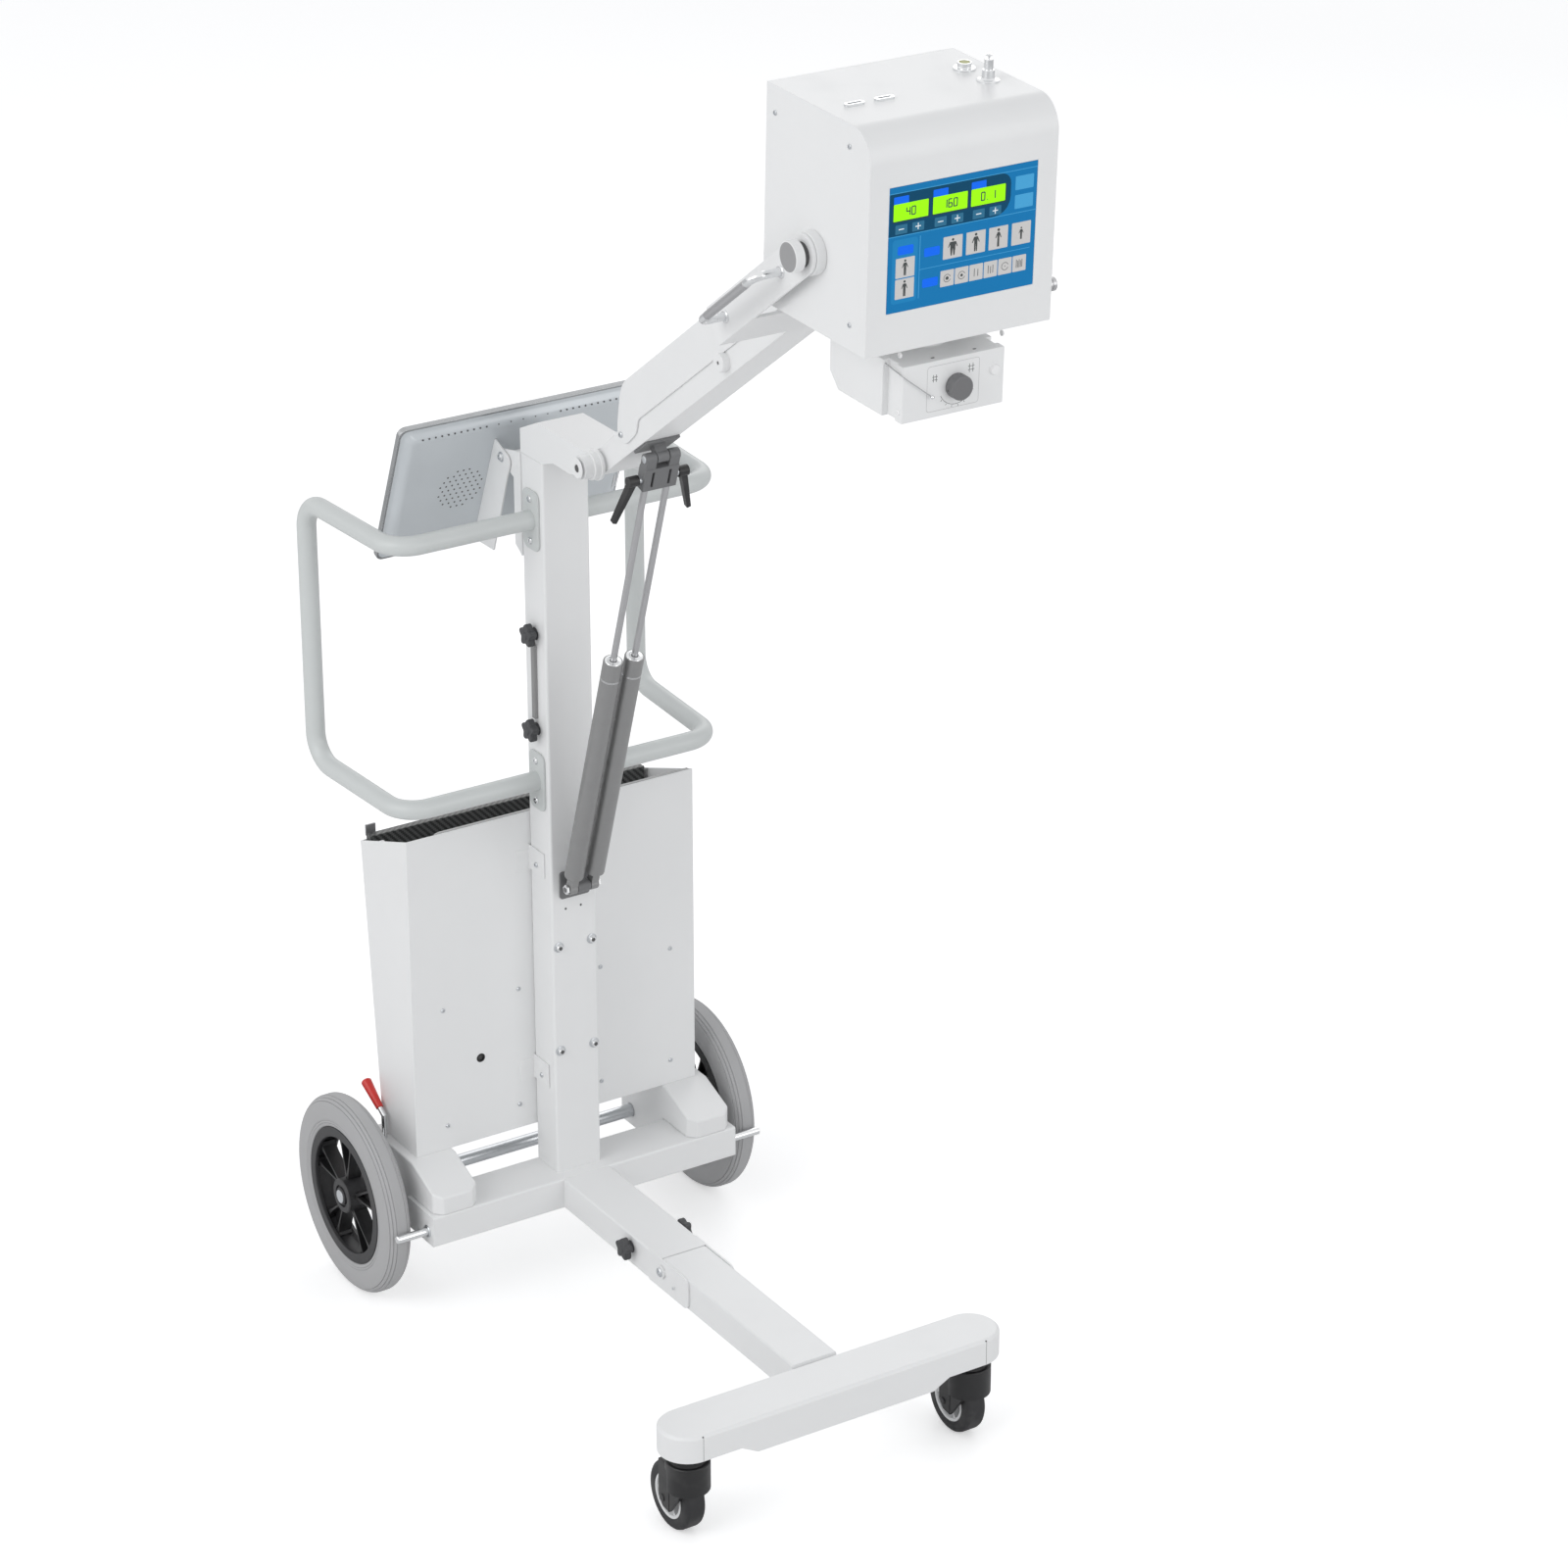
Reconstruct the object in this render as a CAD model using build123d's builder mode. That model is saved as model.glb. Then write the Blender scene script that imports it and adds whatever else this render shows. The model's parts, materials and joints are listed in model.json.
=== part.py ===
"""A portable x-ray machine: a wheeled stand with a folding front leg, a sprung arm and a tilting head.

The frame is in millimetres, with +X towards the casters, +Y to the left of someone who walks behind
the machine and looks forward, and +Z up. The origin is on the floor, under the middle of the machine.
"""
import os
from math import atan2, cos, hypot, radians, sin, sqrt

from build123d import *

os.makedirs("parts", exist_ok=True)

# Fits between pieces
seat_gap = 0.3
pin_gap = 0.05
hinge_gap = 0.5

# Rear wheels
tyre_radius = 150.0
tyre_width = 38.0
tyre_shoulder = 16.0
tyre_crown_half = 8.0
rim_radius = 105.0
rim_depth = 16.0
rim_lip = 1.5
wheel_half_track = 293.0
hub_radius = 26.0
hub_overhang = 5.0
spoke_pairs = 5
spoke_width = 5.0
spoke_depth = 22.0
spoke_splay = 14.0
axle_radius = 10.0
axle_back = 123.5

# Rear beam and leg tubes
tube_width = 78.0
tube_height = 48.0
tube_bottom = 130.0
tube_edge = 3.0
beam_half_length = 256.0
beam_front = 51.5
beam_depth = 80.0

# Column
column_depth = 59.0
column_width = 74.0
column_below_pivot = 46.0
column_edge = 4.0

# Wheel carriers at the beam's ends
carrier_inner = 178.0
carrier_outer = 250.0
carrier_top = 234.0
carrier_nose = 28.0
carrier_slope = 72.0
carrier_tail = 28.0
carrier_below_axle = 26.0
carrier_bevel = 12.0

# Brake
brake_rod_radius = 6.0
brake_rod_ahead = 157.5
brake_rod_past = 14.0
lever_back = 110.0
lever_side = 246.0
lever_radius = 4.0
lever_height = 36.0
lever_tip = 14.0
grip_radius = 8.0
grip_root_radius = 5.5
grip_edge = 2.0
grip_length = 50.0
grip_lean = 58.0

# Folding front leg
leg_pivot_ahead = 328.5
leg_pivot_drop = 18.0
fork_plate = 3.0
fork_reach = 70.0
fork_corner = 12.0
fold_clearance = 6.0
leg_bolt_radius = 6.0
leg_bolt_head = 9.5
leg_bolt_thick = 4.0
front_bar_ahead = 707.5
front_bar_depth = 83.0
front_bar_half = 270.0
front_bar_bottom = 135.0
front_bar_height = 40.0
bar_skirt_drop = 14.0
bar_skirt_half = 168.0
bar_skirt_slope = 26.0
bar_wall = 4.0
bar_edge = 4.0

# Star knobs
knob_radius = 17.0
knob_thick = 17.0
knob_lobes = 5
knob_lobe_radius = 6.5
knob_neck = 8.0
leg_knob_ahead = 242.5
leg_knob_height = 159.0
rail_knob_heights = (1023.0, 878.0)
rail_width = 9.0
rail_thick = 5.0

# Casters
caster_radius = 50.0
caster_width = 32.0
caster_trail = 27.0
caster_hub_radius = 33.0
caster_rim = 5.0
caster_web = 6.0
caster_boss_radius = 10.0
caster_spokes = 6
caster_spoke_width = 3.0
caster_tyre_edge = 5.0
caster_bore = 4.0
caster_plate_radius = 31.0
caster_plate_thick = 7.0
caster_stem_radius = 7.0
caster_stem_length = 18.0
caster_head_radius = 31.0
caster_shroud_height = 54.0
caster_front_wall = 4.0
caster_crown_gap = 5.0
caster_cheek = 6.0
caster_cheek_ahead = 17.0
caster_cheek_behind = 10.0
caster_cheek_drop = 15.0
caster_gap = 2.5

# Detector bin
bin_half_width = 236.0
bin_wall = 2.0
bin_front_gap = 0.3
bin_height = 505.0
bin_depth_low = 103.0
bin_depth_high = 140.0
bin_side_drop = 52.0
bin_hole_radius = 5.5
bin_hole_side = -126.5
bin_hole_height = 133.0
bin_tab_heights = (96.0, 434.0)
bin_tab_reach = 43.0
bin_tab_height = 38.0
bin_tab_thick = 2.0
detector_side = 456.0
detector_height = 462.0
detector_thick = 15.0

# Push handles
handle_tube = 14.0
handle_high = 1194.0
handle_low = 798.5
handle_reach = 253.0
handle_flare = 13.0
handle_back = 237.0
handle_bend = 42.0
flange_thick = 3.0
flange_width = 42.0
flange_height = 88.0
flange_corner = 12.0

# Arm, from its pivot on the column's head to the head's pivot
arm_pivot_ahead = 173.5
arm_pivot_height = 1330.0
arm_angle = 36.3
arm_length = 857.5
arm_half_width = 28.0
arm_under = 15.0
arm_over = 22.0
arm_nose = 16.0
arm_beam_short = 167.5
arm_pin_radius = 8.0
cover_wall = 3.0
cover_low = 14.5
cover_top = 70.0
cover_start = 76.0
cover_short = 217.5
cover_ear_along = 94.0
cover_ear_radius = 17.0
cover_ear_flat = 22.0
cover_swing = 53.0
cover_brow = 72.0
cover_brow_dip = 20.0
cover_ear_back = 12.0
cover_ear_lift = 5.0
cover_ear_slope = 2.0

# Head of the column that carries the arm, with its heights given from the arm's pivot
head_plate = 4.0
head_ridge_ahead = 17.0
head_ridge_rise = 10.7
head_back_drop = 11.3
head_roof_back = 25.0
head_nose = 22.0
head_chin = (104.0, 35.5)
head_throat = (61.5, 34.6)
pivot_disc_radius = 20.0
pivot_disc_thick = 9.0
pivot_cap_radius = 16.5
pivot_cap_thick = 14.0

# Yoke that holds the head
yoke_half = 150.0
yoke_plate = 4.0
yoke_height = 25.0
yoke_plate_back = 251.5
yoke_web_back = 155.5
grip_back = 214.5
grip_pitch = 156.0
grip_stand_off = 37.0
grip_tube = 5.3
grip_bend = 14.0

# Gas springs
spring_pitch = 34.0
spring_radius = 14.0
spring_rod_radius = 4.6
spring_foot_ahead = 53.5
spring_foot_height = 645.0
spring_top_along = 115.0
spring_top_below = 34.0
spring_rod_shown = 297.0
spring_bore_depth = 330.0
spring_tail = 26.0
spring_eye_radius = 9.0
spring_eye_width = 12.0
spring_pin_radius = 4.0
rod_inside = 90.0
knuckle_radius = 8.0
knuckle_half = 9.0
block_half = 26.0
block_web_top = 13.0
block_web_bottom = 48.0
block_depth = 18.0
block_slot_side = 13.0
block_slot_width = 3.5
block_slot_length = 24.0
spring_base_plate = (48.0, 42.0)
spring_base_thick = 4.0
spring_base_low = 16.0
spring_base_high = 12.0
clevis_plate = 4.0
clevis_plate_half = 20.0
lever_hub_radius = 7.5
lever_hub_length = 20.0
lever_neck = 5.0
lever_along = 15.0
lever_arm_length = 66.0
lever_arm_width = 11.0
lever_arm_thick = 9.0
lever_splay = 17.0
lever_taper = 1.2

# X-ray head, tilted forward a little at rest
head_pitch = 2.2
head_half_depth = 112.0
head_half_width = 132.5
head_above = 177.5
head_below = 97.5
head_bend = 40.0
screen_width = 209.0
screen_height = 155.0
screen_recess = 1.5
screen_thick = 1.2
screen_centre = 30.3
tilt_shaft_radius = 8.0
tilt_spacer_radius = 27.0
tilt_knob_radius = 19.5
tilt_knob_face = 170.0
tilt_knob_thick = 13.0
spigot_place = (14.0, 97.0)
spigot_steps = ((14.0, 5.0), (8.0, 9.0), (5.5, 24.0), (4.0, 34.0))
socket_place = (-36.0, 97.0)
socket_steps = ((14.0, 3.0), (11.0, 9.0))

# Collimator
collimator_axis = 30.0
collimator_gap = 24.5
collimator_height = 72.0
collimator_back = 75.0
collimator_front = 75.0
collimator_step = 40.0
collimator_half_back = 78.0
collimator_half_waist = 69.0
collimator_half_front = 73.0
collimator_plate = 15.0
collimator_chamfer = 20.0
neck_radius = 34.0
dial_radius = 15.5
dial_depth = 15.0
dial_side = 4.0
dial_edge = 1.5

# Monitor, with its profile given from its pivot, backwards and up along the screen
monitor_width = 384.0
monitor_height = 238.0
monitor_rim = 9.0
monitor_pan = 9.5
monitor_pan_inset = 9.0
monitor_pan_taper = 42.0
monitor_tilt = 22.0
monitor_corner = 12.0
monitor_pivot_back = 75.0
monitor_below_arm_pivot = 67.0
monitor_face_back = 44.5
monitor_face_above = 54.0
monitor_screen_border = 14.0
monitor_glass = 1.0
ear_half = 42.0
ear_thick = 3.0
ear_pin = 5.0
ear_ahead = 22.0
ear_above = 12.0
ear_lean = 6.0
ear_length = 150.0
ear_corner = 12.0
monitor_bracket_half = 38.0
monitor_bracket_depth = 19.0
monitor_bracket_above = 20.0
monitor_bracket_below = 133.0
monitor_lug = 11.0

# Where the column stands, so that the machine is centred on the origin
pitch = radians(head_pitch)
rise = radians(arm_angle)
head_reach = (head_half_depth - head_bend) * cos(pitch) + (head_above - head_bend) * sin(pitch) + head_bend
front_reach = arm_pivot_ahead + arm_length * cos(rise) + head_reach
rear_reach = axle_back + tyre_radius
column_x = (rear_reach - front_reach) / 2

# Places that follow from the sizes above
axle_x = column_x - axle_back
tube_top = tube_bottom + tube_height
column_half_depth = column_depth / 2
column_side = column_width / 2
column_top = arm_pivot_height - column_below_pivot
monitor_pivot_height = arm_pivot_height - monitor_below_arm_pivot
arm_end = arm_length - arm_beam_short
cover_end = arm_length - cover_short
yoke_start = arm_length - yoke_plate_back
yoke_web_end = arm_length - yoke_web_back
grip_start = arm_length - grip_back
brake_rod_half = wheel_half_track + brake_rod_past
beam_front_x = column_x + beam_front
beam_back_x = beam_front_x - beam_depth
leg_pivot_x = column_x + leg_pivot_ahead
leg_pivot_z = tube_top - leg_pivot_drop
front_bar_x = column_x + front_bar_ahead
caster_y = front_bar_half - front_bar_depth / 2
arm_pivot_x = column_x + arm_pivot_ahead
head_pivot_x = arm_pivot_x + arm_length * cos(rise)
head_pivot_z = arm_pivot_height + arm_length * sin(rise)
spring_foot_x = column_x + spring_foot_ahead
spring_top_x = arm_pivot_x + spring_top_along * cos(rise) + spring_top_below * sin(rise)
spring_top_z = arm_pivot_height + spring_top_along * sin(rise) - spring_top_below * cos(rise)
spring_run = spring_top_x - spring_foot_x
spring_lift = spring_top_z - spring_foot_height
spring_length = hypot(spring_run, spring_lift)
spring_angle = atan2(spring_lift, spring_run)
spring_cap = spring_length - block_web_bottom - spring_rod_shown
bin_front_x = column_x - column_half_depth - bin_front_gap
bin_floor = carrier_top
monitor_pivot_x = column_x - monitor_pivot_back

# Side views, each drawn with its own x along the piece and its y across it
side_view = Plane.XZ
arm_side = Plane(origin=(arm_pivot_x, 0, arm_pivot_height), x_dir=(cos(rise), 0, sin(rise)), z_dir=(0, -1, 0))
spring_side = Plane(origin=(spring_foot_x, 0, spring_foot_height),
                    x_dir=(cos(spring_angle), 0, sin(spring_angle)), z_dir=(0, -1, 0))
head_side = Plane(origin=(head_pivot_x, 0, head_pivot_z), x_dir=(cos(pitch), 0, -sin(pitch)), z_dir=(0, -1, 0))
head_level = Plane(origin=(head_pivot_x, 0, head_pivot_z), x_dir=(cos(pitch), 0, -sin(pitch)),
                   z_dir=(sin(pitch), 0, cos(pitch)))
head_face = Plane(origin=(head_pivot_x, 0, head_pivot_z), x_dir=(0, 1, 0), z_dir=(cos(pitch), 0, -sin(pitch)))
screen_lean = radians(monitor_tilt)
monitor_side = Plane(origin=(monitor_pivot_x, 0, monitor_pivot_height),
                     x_dir=(-cos(screen_lean), 0, sin(screen_lean)), z_dir=(0, 1, 0))


def keep(piece, name):
    """Label a finished piece and write its file.

    Args:
        piece: the solid or compound of one sub-part.
        name: the sub-part's name, which is also its file's name.
    """
    piece.label = name
    export_step(piece, f"parts/{name}.step")


def across(plane, y):
    """Move a side view's plane so that its sketch lies at the given y."""
    return plane.offset(-y) if plane.z_dir.Y < 0 else plane.offset(y)


def outward(plane, y, amount):
    """Give the signed length that extrudes from y towards the outside of the machine."""
    side = 1 if y > 0 else -1
    return amount * side * (-1 if plane.z_dir.Y < 0 else 1)


# Rear beam, a box tube across the machine with a bore for the brake rod
brake_rod_x = axle_x + brake_rod_ahead
with BuildPart() as rear_beam:
    with BuildSketch(Plane.XY.offset(tube_bottom)):
        with Locations((beam_front_x - beam_depth / 2, 0)):
            Rectangle(beam_depth, 2 * beam_half_length)
    extrude(amount=tube_height)
    fillet(rear_beam.edges().filter_by(Axis.Y), tube_edge)
    with BuildSketch(across(side_view, 0)):
        with Locations((brake_rod_x, tyre_radius)):
            Circle(brake_rod_radius + pin_gap)
    extrude(amount=beam_half_length + 1, both=True, mode=Mode.SUBTRACT)
keep(rear_beam.part, "rear_beam")

# Rear half of the leg, hollowed round the hinge's nose and carrying the two fork plates
nose_radius = leg_pivot_drop
hollow_radius = nose_radius + hinge_gap
with BuildPart() as leg_rear:
    with BuildSketch(Plane.XY.offset(tube_bottom)):
        with Locations(((beam_front_x + leg_pivot_x) / 2, 0)):
            Rectangle(leg_pivot_x - beam_front_x, tube_width)
    extrude(amount=tube_height)
    fillet(leg_rear.edges().filter_by(Axis.X), tube_edge)
    with BuildSketch(side_view):
        with Locations((leg_pivot_x, leg_pivot_z)):
            Circle(hollow_radius)
        with BuildLine():
            fold_back = leg_pivot_x - (leg_pivot_z - tube_bottom) - fold_clearance
            Polyline((leg_pivot_x, leg_pivot_z), (leg_pivot_x - hollow_radius, leg_pivot_z),
                     (fold_back, leg_pivot_z - nose_radius), (fold_back, tube_bottom - 1),
                     (leg_pivot_x + nose_radius, tube_bottom - 1), close=True)
        make_face()
    extrude(amount=tube_width / 2 - fork_plate, both=True, mode=Mode.SUBTRACT)
    for side in (-1, 1):
        with BuildSketch(across(side_view, side * (tube_width / 2 - fork_plate))) as fork:
            with BuildLine():
                back = leg_pivot_x - nose_radius - fold_clearance - fork_corner
                tip = leg_pivot_x + fork_reach
                Polyline((back, tube_bottom), (tip, tube_bottom), (tip, tube_top), (back, tube_top), close=True)
            make_face()
            fillet(fork.vertices().group_by(Axis.X)[-1], fork_corner)
        extrude(amount=outward(side_view, side, fork_plate))
        with BuildSketch(across(side_view, side * tube_width / 2)):
            with Locations((leg_pivot_x, leg_pivot_z)):
                Circle(leg_bolt_head)
        extrude(amount=outward(side_view, side, leg_bolt_thick))
    with BuildSketch(side_view):
        with Locations((leg_pivot_x, leg_pivot_z)):
            Circle(leg_bolt_radius)
    extrude(amount=tube_width / 2, both=True)
keep(leg_rear.part, "leg_rear")

# Front half of the leg, with a round nose that turns in the fork
leg_front_half = tube_width / 2 - fork_plate - seat_gap
bar_back_x = front_bar_x - front_bar_depth / 2
with BuildPart() as leg_front:
    with BuildSketch(side_view):
        with BuildLine():
            top = Line((leg_pivot_x, tube_top), (bar_back_x, tube_top))
            end = Line(top @ 1, (bar_back_x, tube_bottom))
            low = Line(end @ 1, (leg_pivot_x + nose_radius, tube_bottom))
            heel = Line(low @ 1, (leg_pivot_x, leg_pivot_z - nose_radius))
            ThreePointArc(heel @ 1, (leg_pivot_x - nose_radius, leg_pivot_z), top @ 0)
        make_face()
        with Locations((leg_pivot_x, leg_pivot_z)):
            Circle(leg_bolt_radius + pin_gap, mode=Mode.SUBTRACT)
    extrude(amount=leg_front_half, both=True)
    fillet(leg_front.edges().filter_by(Axis.X).group_by(Axis.Z)[-1], tube_edge)
keep(leg_front.part, "leg_front")

# Front bar, a pressed channel with round ends, and a skirt that is deeper between the casters
with BuildPart() as front_bar:
    with BuildSketch(Plane.XY.offset(front_bar_bottom)):
        with Locations((front_bar_x, 0)):
            SlotOverall(2 * front_bar_half, front_bar_depth, rotation=90)
    extrude(amount=front_bar_height)
    chamfer(front_bar.faces().sort_by(Axis.Z)[-1].edges(), bar_edge)
    with BuildSketch(Plane.YZ.offset(front_bar_x + front_bar_depth / 2)):
        with BuildLine():
            half = bar_skirt_half
            low = front_bar_bottom - bar_skirt_drop
            Polyline((-half, front_bar_bottom), (half, front_bar_bottom), (half - bar_skirt_slope, low),
                     (bar_skirt_slope - half, low), close=True)
        make_face()
    extrude(amount=-front_bar_depth)
    with BuildSketch(Plane.XY.offset(front_bar_bottom - bar_skirt_drop)):
        with Locations((front_bar_x, 0)):
            Rectangle(front_bar_depth - 2 * bar_wall, 2 * bar_skirt_half)
    extrude(amount=bar_skirt_drop, mode=Mode.SUBTRACT)
keep(front_bar.part, "front_bar")

# Column, with the slim rail between the two star knobs on its right side
rail_top = max(rail_knob_heights) - knob_radius
rail_bottom = min(rail_knob_heights) + knob_radius
with BuildPart() as column:
    with BuildSketch(Plane.XY.offset(tube_top)):
        with Locations((column_x, 0)):
            Rectangle(column_depth, column_width)
    extrude(amount=column_top - tube_top)
    fillet(column.edges().filter_by(Axis.Z), column_edge)
    with Locations((column_x, -column_side - rail_thick / 2, (rail_top + rail_bottom) / 2)):
        Box(rail_width, rail_thick, rail_top - rail_bottom)
keep(column.part, "column")

# Head of the column: a box flush with its sides, and two cheeks that reach forward to the arm's pivot
cheek_half = column_side - head_plate
column_back_x = column_x - column_half_depth
head_low = column_top + seat_gap
head_back = (column_back_x, arm_pivot_height - head_back_drop)
head_ridge = (column_x + head_ridge_ahead, arm_pivot_height + head_ridge_rise)
roof_front_x = arm_pivot_x - head_roof_back
nose_back = sqrt(head_nose ** 2 - head_ridge_rise ** 2)
with BuildPart() as column_head:
    for side in (-1, 1):
        with BuildSketch(across(side_view, side * cheek_half)):
            with BuildLine():
                top = Line(head_ridge, (arm_pivot_x - nose_back, head_ridge[1]))
                nose = ThreePointArc(top @ 1, (arm_pivot_x + head_nose, arm_pivot_height),
                                     (arm_pivot_x, arm_pivot_height - head_nose))
                Polyline(nose @ 1, (column_x + head_chin[0], arm_pivot_height - head_chin[1]),
                         (column_x + head_throat[0], arm_pivot_height - head_throat[1]),
                         (column_x + column_half_depth, head_low), (column_back_x, head_low), head_back, top @ 0)
            make_face()
        extrude(amount=outward(side_view, side, head_plate))
        reach = column_side
        for radius, thick in ((pivot_disc_radius, pivot_disc_thick), (pivot_cap_radius, pivot_cap_thick)):
            with BuildSketch(across(side_view, side * reach)):
                with Locations((arm_pivot_x, arm_pivot_height)):
                    Circle(radius)
            extrude(amount=outward(side_view, side, thick))
            reach += thick
    with BuildSketch(side_view):
        with Locations((arm_pivot_x, arm_pivot_height)):
            Circle(arm_pin_radius)
    extrude(amount=column_side, both=True)
    with BuildSketch(side_view):
        with BuildLine():
            front_x = column_x + column_half_depth
            Polyline((column_back_x, head_low), head_back, head_ridge, (roof_front_x, head_ridge[1]),
                     (roof_front_x, head_ridge[1] - head_plate), (front_x, head_ridge[1] - head_plate),
                     (front_x, head_low), close=True)
        make_face()
    extrude(amount=cheek_half, both=True)
keep(column_head.part, "column_head")

# Wheel carriers: wedge blocks on the beam's ends that reach back to the axle
with BuildPart() as wheel_carriers:
    for side in (-1, 1):
        with BuildSketch(across(side_view, side * carrier_inner)):
            with BuildLine():
                tail = axle_x - carrier_tail
                Polyline((beam_front_x, tube_top), (beam_front_x, tube_top + carrier_nose),
                         (beam_front_x - carrier_slope, carrier_top), (tail, carrier_top),
                         (tail, tyre_radius - carrier_below_axle),
                         (beam_back_x, tyre_radius - carrier_below_axle),
                         (beam_back_x, tube_top), close=True)
            make_face()
            with Locations((axle_x, tyre_radius)):
                Circle(axle_radius + pin_gap, mode=Mode.SUBTRACT)
        extrude(amount=outward(side_view, side, carrier_outer - carrier_inner))
    nose_edges = wheel_carriers.edges().filter_by(Axis.Z).group_by(Axis.X)[-1]
    chamfer(nose_edges, carrier_bevel)
keep(wheel_carriers.part, "wheel_carriers")

# Axle of the rear wheels
with BuildPart() as rear_axle:
    with BuildSketch(side_view):
        with Locations((axle_x, tyre_radius)):
            Circle(axle_radius)
    extrude(amount=wheel_half_track + tyre_width / 2 + hub_overhang, both=True)
keep(rear_axle.part, "rear_axle")

# Brake rod that bears on both tyres, and the lever that works it
with BuildPart() as brake_rod:
    with BuildSketch(side_view):
        with Locations((brake_rod_x, tyre_radius)):
            Circle(brake_rod_radius)
    extrude(amount=brake_rod_half, both=True)
    chamfer(brake_rod.faces().filter_by(Axis.Y).edges(), brake_rod_radius / 5)
keep(brake_rod.part, "brake_rod")

lever_x = column_x - lever_back
lean_back = radians(grip_lean)
grip_run = (-sin(lean_back), 0, cos(lean_back))
lever_foot = (lever_x, -lever_side, carrier_top)
lever_knee = (lever_x, -lever_side, carrier_top + lever_height)
lever_end = tuple(knee + lever_tip * step for knee, step in zip(lever_knee, grip_run))
with BuildPart() as brake_lever:
    with BuildLine() as lever_route:
        Polyline(lever_foot, lever_knee, lever_end)
    with BuildSketch(Plane.XY.offset(carrier_top)):
        with Locations((lever_x, -lever_side)):
            Circle(lever_radius)
    sweep(transition=Transition.RIGHT)
keep(brake_lever.part, "brake_lever")

grip_plane = Plane(origin=lever_end, z_dir=grip_run)
with BuildPart() as brake_grip:
    with BuildSketch(grip_plane):
        Circle(grip_root_radius)
    with BuildSketch(grip_plane.offset(grip_length)):
        Circle(grip_radius)
    loft()
    chamfer(brake_grip.faces().sort_by(Axis.Z)[-1].edges(), grip_edge)
keep(brake_grip.part, "brake_grip")


def lobed_knob(x, z, y_face):
    """Make a star knob that stands on a side face, with its neck against the face."""
    with BuildPart() as knob:
        side = 1 if y_face > 0 else -1
        with BuildSketch(across(side_view, y_face)):
            with Locations((x, z)):
                Circle(knob_neck)
        extrude(amount=outward(side_view, side, knob_thick / 3))
        with BuildSketch(across(side_view, y_face + side * knob_thick / 3)):
            with Locations((x, z)):
                Circle(knob_radius - knob_lobe_radius / 2)
                with PolarLocations(knob_radius - knob_lobe_radius, knob_lobes, start_angle=90):
                    Circle(knob_lobe_radius)
        extrude(amount=outward(side_view, side, knob_thick * 2 / 3))
    return knob.part


# Star knobs that clamp the leg's fold and the column's rail
leg_knobs = Compound(children=[
    lobed_knob(column_x + leg_knob_ahead, leg_knob_height, side * tube_width / 2) for side in (-1, 1)])
keep(leg_knobs, "leg_knobs")
rail_knobs = Compound(children=[lobed_knob(column_x, height, -column_side) for height in rail_knob_heights])
keep(rail_knobs, "rail_knobs")

# Detector bin: an open tray of bent sheet whose back leans outwards
bin_top = bin_floor + bin_height
with BuildPart() as bin_tray:
    with BuildSketch(side_view):
        with BuildLine():
            Polyline((bin_front_x, bin_floor), (bin_front_x, bin_top),
                     (bin_front_x - bin_depth_high, bin_top - bin_side_drop),
                     (bin_front_x - bin_depth_low, bin_floor), close=True)
        make_face()
    extrude(amount=bin_half_width, both=True)
    lean = (bin_depth_high - bin_depth_low) / (bin_height - bin_side_drop)
    with BuildSketch(side_view):
        with BuildLine():
            inner_low = bin_front_x - bin_depth_low + bin_wall * (1 - lean)
            inner_high = inner_low - lean * (bin_height + bin_wall)
            Polyline((bin_front_x - bin_wall, bin_floor + bin_wall), (bin_front_x - bin_wall, bin_top + bin_wall),
                     (inner_high, bin_top + bin_wall), (inner_low, bin_floor + bin_wall), close=True)
        make_face()
    extrude(amount=bin_half_width - bin_wall, both=True, mode=Mode.SUBTRACT)
    with BuildSketch(Plane.YZ.offset(bin_front_x - bin_wall * 2)):
        with Locations((bin_hole_side, bin_floor + bin_hole_height)):
            Circle(bin_hole_radius)
    extrude(amount=bin_wall * 3, mode=Mode.SUBTRACT)
keep(bin_tray.part, "bin_tray")

# Tabs that hold the bin on the column's sides
with BuildPart() as bin_tabs:
    for side in (-1, 1):
        for height in bin_tab_heights:
            with Locations((bin_front_x + bin_tab_reach / 2,
                            side * (column_side + seat_gap + bin_tab_thick / 2), bin_floor + height)):
                Box(bin_tab_reach, bin_tab_thick, bin_tab_height)
keep(bin_tabs.part, "bin_tabs")

# Flat detector panel that leans on the bin's back
lean_angle = atan2(bin_depth_high - bin_depth_low, bin_height - bin_side_drop)
panel_plane = Plane(origin=(bin_front_x - bin_depth_low + bin_wall + 1, 0, bin_floor + bin_wall + seat_gap),
                    x_dir=(cos(lean_angle), 0, sin(lean_angle)), z_dir=(0, -1, 0))
with BuildPart() as detector:
    with BuildSketch(panel_plane):
        Rectangle(detector_thick, detector_height, align=(Align.MIN, Align.MIN))
    extrude(amount=detector_side / 2, both=True)
keep(detector.part, "detector")

# Push handles: one bent tube on each side, welded to two flange plates
for side, name in ((1, "handle_left"), (-1, "handle_right")):
    root = side * (column_side + seat_gap + flange_thick / 2)
    reach = side * handle_reach
    flared = side * (handle_reach + handle_flare)
    back_x = column_x - handle_back
    with BuildPart() as handle:
        with BuildLine() as route:
            FilletPolyline((column_x, root, handle_high), (column_x, reach, handle_high),
                           (back_x, flared, handle_high), (back_x, flared, handle_low),
                           (column_x, reach, handle_low), (column_x, root, handle_low), radius=handle_bend)
        with BuildSketch(Plane(origin=(column_x, root, handle_high), z_dir=(0, side, 0))):
            Circle(handle_tube)
        sweep()
        for height in (handle_high, handle_low):
            with BuildSketch(across(side_view, side * (column_side + seat_gap))):
                with Locations((column_x, height)):
                    RectangleRounded(flange_width, flange_height, flange_corner)
            extrude(amount=outward(side_view, side, flange_thick))
    keep(handle.part, name)

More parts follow.
